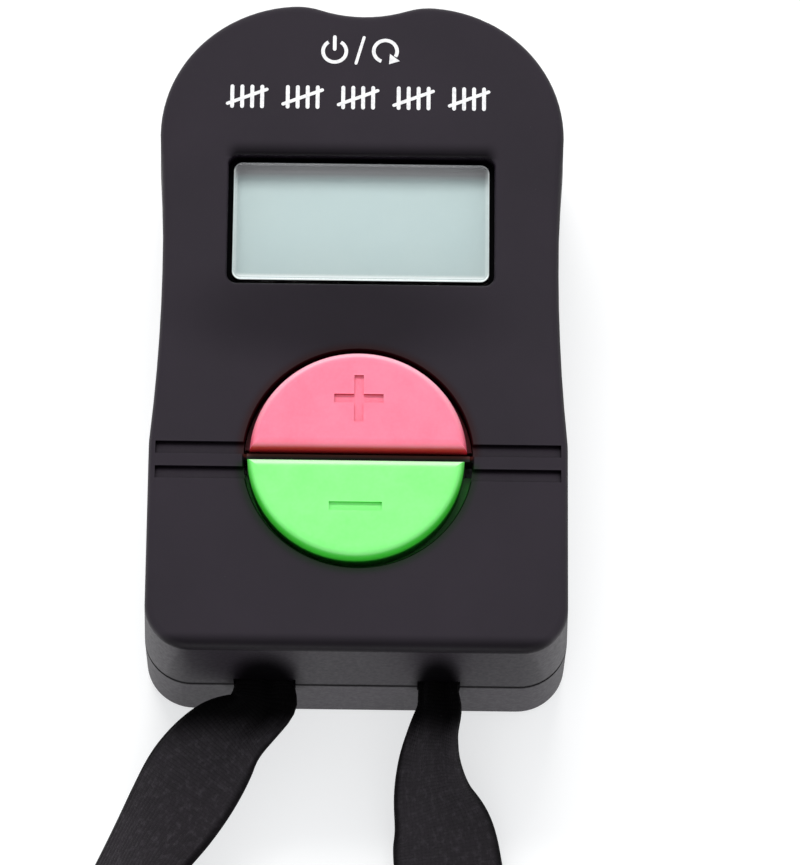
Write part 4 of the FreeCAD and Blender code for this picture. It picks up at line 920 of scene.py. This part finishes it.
# ------------------------------------------------------------------ ribbon strap
# Stations along the ribbon: x, y, z of its centre, roll about the path in degrees,
# share of the full width. It leaves the case on the left and comes back on the right.
STRAP_OUTSIDE = [
    (-8.25, -32.25, 8.4, 0, 0.56), (-8.28, -33.30, 8.34, 0, 0.6),
    (-9.1, -34.60, 8.1, 0, 0.57), (-11.7, -36.50, 7.5, 0, 0.78),
    (-14.03, -39.20, 6.2, -4, 0.91), (-16.42, -42.80, 4.8, -18, 0.96),
    (-19.06, -47.00, 3.75, -31, 0.95), (-21.4, -52.00, 3.25, -35, 1.0),
    (-24.2, -58.80, 3.43, -38, 1), (-26.9, -66.60, 3.92, -46, 1),
    (-29.0, -75.20, 4.54, -59, 1), (-29.7, -84.20, 4.96, -73, 1),
    (-28.6, -93.20, 5.2, -84, 1), (-25.0, -101.80, 5.2, -90, 1),
    (-18.9, -108.50, 5.2, -90, 1), (-10.6, -112.80, 5.2, -90, 1),
    (-1.2, -114.20, 5.2, -90, 1), (8.2, -112.80, 5.2, -90, 1),
    (16.4, -108.40, 5.2, -90, 1), (22.4, -101.20, 5.2, -87, 1),
    (25.3, -92.20, 5.1, -74, 1), (25.0, -83.00, 4.13, -50, 1),
    (22.0, -74.40, 2.7, -27, 1), (17.6, -66.80, 1.4, -10, 1),
    (13.2, -60.20, 0.7, -2, 1), (10.3, -56.00, 0.66, 0, 1.0),
    (9.2, -52.00, 0.88, 0, 1.0), (8.7, -47.50, 1.65, 0, 0.97),
    (8.1, -43.80, 3.0, -5, 0.91), (7.1, -40.80, 4.5, -8, 0.71),
    (6.81, -38.20, 6.1, -8, 0.56), (7.1, -35.80, 7.5, -5, 0.45),
    (7.6, -33.80, 8.25, -2, 0.40), (7.52, -32.25, 8.4, 0, 0.363),
]
# inside the case the ribbon is gathered behind the bridge between the two slots
STRAP_INSIDE_LEFT = [
    (-1.5, -28.1, 8.4, 0, 0.27), (-4.4, -28.15, 8.4, 0, 0.27),
    (-6.8, -29.0, 8.4, 0, 0.28), (-8.1, -30.7, 8.4, 0, 0.44),
]
STRAP_INSIDE_RIGHT = [
    (7.52, -30.7, 8.4, 0, 0.35), (6.6, -28.9, 8.4, 0, 0.28),
    (4.4, -28.15, 8.4, 0, 0.27), (1.5, -28.1, 8.4, 0, 0.27),
]
STRAP_WIDTH, STRAP_THICKNESS = 10.0, 0.72
STRAP_STEPS = 520                   # even steps along the ribbon
STRAP_ACROSS = 26                   # segments across it
SELVEDGE_BULGE = 0.02               # how far the edge stands out, as a share of half the width
SELVEDGE_UV = 0.2                   # the same edge in the UV map


def catmull(points, per):
    """Samples a smooth curve through rows of numbers, end rows included."""
    rows = []
    n = len(points)
    for i in range(n - 1):
        stretch = (points[max(i - 1, 0)], points[i], points[i + 1], points[min(i + 2, n - 1)])
        for k in range(per):
            t = k / per
            rows.append([0.5 * ((2 * b) + (-a + c) * t + (2 * a - 5 * b + 4 * c - d) * t * t
                                + (-a + 3 * b - 3 * c + d) * t ** 3)
                         for a, b, c, d in zip(*stretch)])
    rows.append(list(points[-1]))
    return rows


def resample(rows, count):
    """The same curve in even steps; each row gets its distance along the curve at the end."""
    distance = [0.0]
    for a, b in zip(rows, rows[1:]):
        distance.append(distance[-1] + math.dist(a[:3], b[:3]))
    even = []
    j = 0
    for i in range(count + 1):
        along = distance[-1] * i / count
        while j < len(distance) - 2 and distance[j + 1] < along:
            j += 1
        t = (along - distance[j]) / max(distance[j + 1] - distance[j], 1e-9)
        even.append([a + (b - a) * t for a, b in zip(rows[j], rows[j + 1])] + [along])
    return even


def smoothstep(start, end, x):
    t = min(1.0, max(0.0, (x - start) / (end - start)))
    return t * t * (3 - 2 * t)


def ribbon_directions(rows, i):
    """Unit vectors across the ribbon and out of its surface at row i."""
    a, b = rows[max(i - 2, 0)], rows[min(i + 2, len(rows) - 1)]
    tangent = Vector((b[0] - a[0], b[1] - a[1], b[2] - a[2])).normalized()
    side = tangent.cross(Vector((0, 0, 1))).normalized()
    up = side.cross(tangent)
    roll = math.radians(rows[i][3])
    across = side * math.cos(roll) + up * math.sin(roll)
    return across, tangent.cross(across)


def ribbon_lift(u, gather, along, left):
    """Height of the ribbon's middle surface at u, from -1 to 1 across its width."""
    phase = 0.25 if left else -0.35
    fold = gather * (0.44 * math.cos(math.pi * (1.5 * u + phase))
                     + 0.16 * math.cos(math.pi * (3.2 * u + 0.6)))
    wave = 0.10 * math.sin(2 * math.pi * along / 37.0 + 2.3 * u) * (1 - gather)
    cup = 0.22 * (u * u - 0.4) * (1 - gather)
    return fold + wave + cup


def ribbon_half_thickness(u, middle):
    """Half the thickness at u: a thicker selvedge with a rounded edge."""
    selvedge = middle * 1.10
    half = middle + (selvedge - middle) * min(1.0, max(0.0, (abs(u) - 0.86) / 0.05))
    rounding = max(0.0, (abs(u) - 0.90) / 0.10)
    return half * math.sqrt(max(0.0, 1 - (rounding ** 2) * 0.78))


def wrist_strap():
    stations = STRAP_INSIDE_LEFT + STRAP_OUTSIDE + STRAP_INSIDE_RIGHT
    rows = resample(catmull(stations, per=12), STRAP_STEPS)
    total = rows[-1][-1]
    positions = [-1 + 2 * k / STRAP_ACROSS for k in range(STRAP_ACROSS + 1)]
    us = [STRAP_WIDTH / 2 * u for u in positions]
    edge_u = STRAP_WIDTH / 2 + SELVEDGE_UV
    ring_us = us + [edge_u] + us[::-1] + [-edge_u]

    verts, uvs = [], []
    for i, (x, y, z, _, share, along) in enumerate(rows):
        centre = Vector((x, y, z))
        across, out = ribbon_directions(rows, i)
        gather = 1.0 - smoothstep(0.34, 1.0, share)     # near 1 in the slots, 0 lying open
        half_width = STRAP_WIDTH * share / 2
        middle = STRAP_THICKNESS / 2 * (1.0 + 0.15 * gather)
        lifts = [ribbon_lift(u, gather, along, along < total / 2) for u in positions]
        top, bottom = [], []
        for u, lift in zip(positions, lifts):
            half = ribbon_half_thickness(u, middle)
            top.append(centre + across * (u * half_width) + out * (lift + half))
            bottom.append(centre + across * (u * half_width) + out * (lift - half))
        reach = (1.0 + SELVEDGE_BULGE) * half_width
        ring = (top + [centre + across * reach + out * lifts[-1]]
                + bottom[::-1] + [centre - across * reach + out * lifts[0]])
        verts += [tuple(point) for point in ring]
        uvs += [(u, along) for u in ring_us]

    n = len(ring_us)
    faces = []
    for i in range(STRAP_STEPS):
        for k in range(n):
            a, b = i * n + k, i * n + (k + 1) % n
            faces.append((a, b, b + n, a + n))
    faces.append(tuple(range(n))[::-1])
    faces.append(tuple(STRAP_STEPS * n + k for k in range(n)))

    strap = solid("wrist_strap", verts, faces, MATERIALS["fabric"], smooth=True, uvs=uvs)
    tuple(mm(0, -31.8, 8.4))
    tuple(mm(0, -33.9, 8.4))
    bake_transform(strap)
    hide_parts("strap_loop", "strap_anchor")


wrist_strap()


# ------------------------------------------------------------------ floor, light, camera
def pale_floor():
    """A faintly glowing floor just below the counter, see-through from below."""
    half_size, level = 1500.0, -0.02
    mat = Material("pale_floor")
    tone = mat.noise(scale=0.004).ramp(0.3, 0.7)
    mat.set("Base Color", mat.mix(tone, (0.46, 0.46, 0.46), (0.48, 0.48, 0.48)))
    mat.set("Emission Color", (0.98, 0.99, 1.0))
    mat.set("Emission Strength", 0.61)
    mat.set("Roughness", 0.85)
    mat.set("Specular IOR Level", 0.2)
    see_through = mat.add("ShaderNodeBsdfTransparent")
    mat.show(mat.mix_shader(mat.geometry("Backfacing"), mat.shader, see_through))
    corners = [(x * half_size, y * half_size, level)
               for x, y in ((-1, -1), (1, -1), (1, 1), (-1, 1))]
    mesh_object("floor", corners, [(0, 1, 2, 3)], mat.material)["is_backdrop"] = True


def studio_world():
    world = bpy.data.worlds.new("studio")
    bpy.context.scene.world = world
    world.use_nodes = True
    background = world.node_tree.nodes["Background"]
    background.inputs["Color"].default_value = (0.97, 0.985, 1.0, 1)
    background.inputs["Strength"].default_value = 0.62


def area_light(name, location, target, size, power, colour):
    """A rectangular light aimed at a target; places and sizes in metres, power in watts."""
    light = bpy.data.lights.new(name, "AREA")
    light.shape = "RECTANGLE"
    light.size, light.size_y = size
    light.energy = power
    light.color = colour
    lamp = bpy.data.objects.new(name, light)
    bpy.context.scene.collection.objects.link(lamp)
    lamp.location = location
    aim = Vector(target) - Vector(location)
    lamp.rotation_euler = aim.to_track_quat("-Z", "Y").to_euler()
    return lamp


def lights():
    key = {"location": (-0.06, 0.42, 0.50), "target": (0, 0, 0.01), "colour": (1.0, 0.99, 0.97)}
    soft = area_light("key_light", size=(0.38, 0.16), power=2.9, **key)
    soft.visible_glossy = False     # its even glow carries the colours, not the glints
    area_light("key_glint", size=(0.42, 0.26), power=0.5, **key)
    area_light("fill_light", location=(-0.02, -0.55, 0.22), target=(0, -0.03, 0.01),
               size=(0.5, 0.3), power=1.1, colour=(0.98, 0.99, 1.0))


def camera():
    """A long lens above the -Y side, tilted off the vertical and rolled slightly."""
    tilt, roll = math.radians(20.5), math.radians(0.72)
    target = mm(0, 0.10, 17.5)
    distance = 0.500                # metres
    data = bpy.data.cameras.new("camera")
    cam = bpy.data.objects.new("camera", data)
    bpy.context.scene.collection.objects.link(cam)
    bpy.context.scene.camera = cam
    data.sensor_fit = "AUTO"
    data.sensor_width = 36.0
    data.lens = 228.9017341
    data.shift_x = 0.0463583815
    data.shift_y = -0.1289017341
    data.clip_start = 0.01
    data.clip_end = 20.0

    look = Vector((0, math.sin(tilt), -math.cos(tilt)))     # from the camera to the counter
    level_up = Vector((0, math.cos(tilt), math.sin(tilt)))
    level_right = Vector((1, 0, 0))
    right = level_right * math.cos(roll) + level_up * math.sin(roll)
    up = level_up * math.cos(roll) - level_right * math.sin(roll)
    cam.location = target - look * distance
    cam.rotation_euler = Matrix((right, up, -look)).transposed().to_euler()


def colour_management():
    view = bpy.context.scene.view_settings
    view.view_transform = "Standard"
    view.look = "None"
    view.exposure = 0.0
    view.gamma = 1.0


pale_floor()
studio_world()
lights()
camera()
colour_management()

{"cad": cad_box, "visual": plain(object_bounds())}
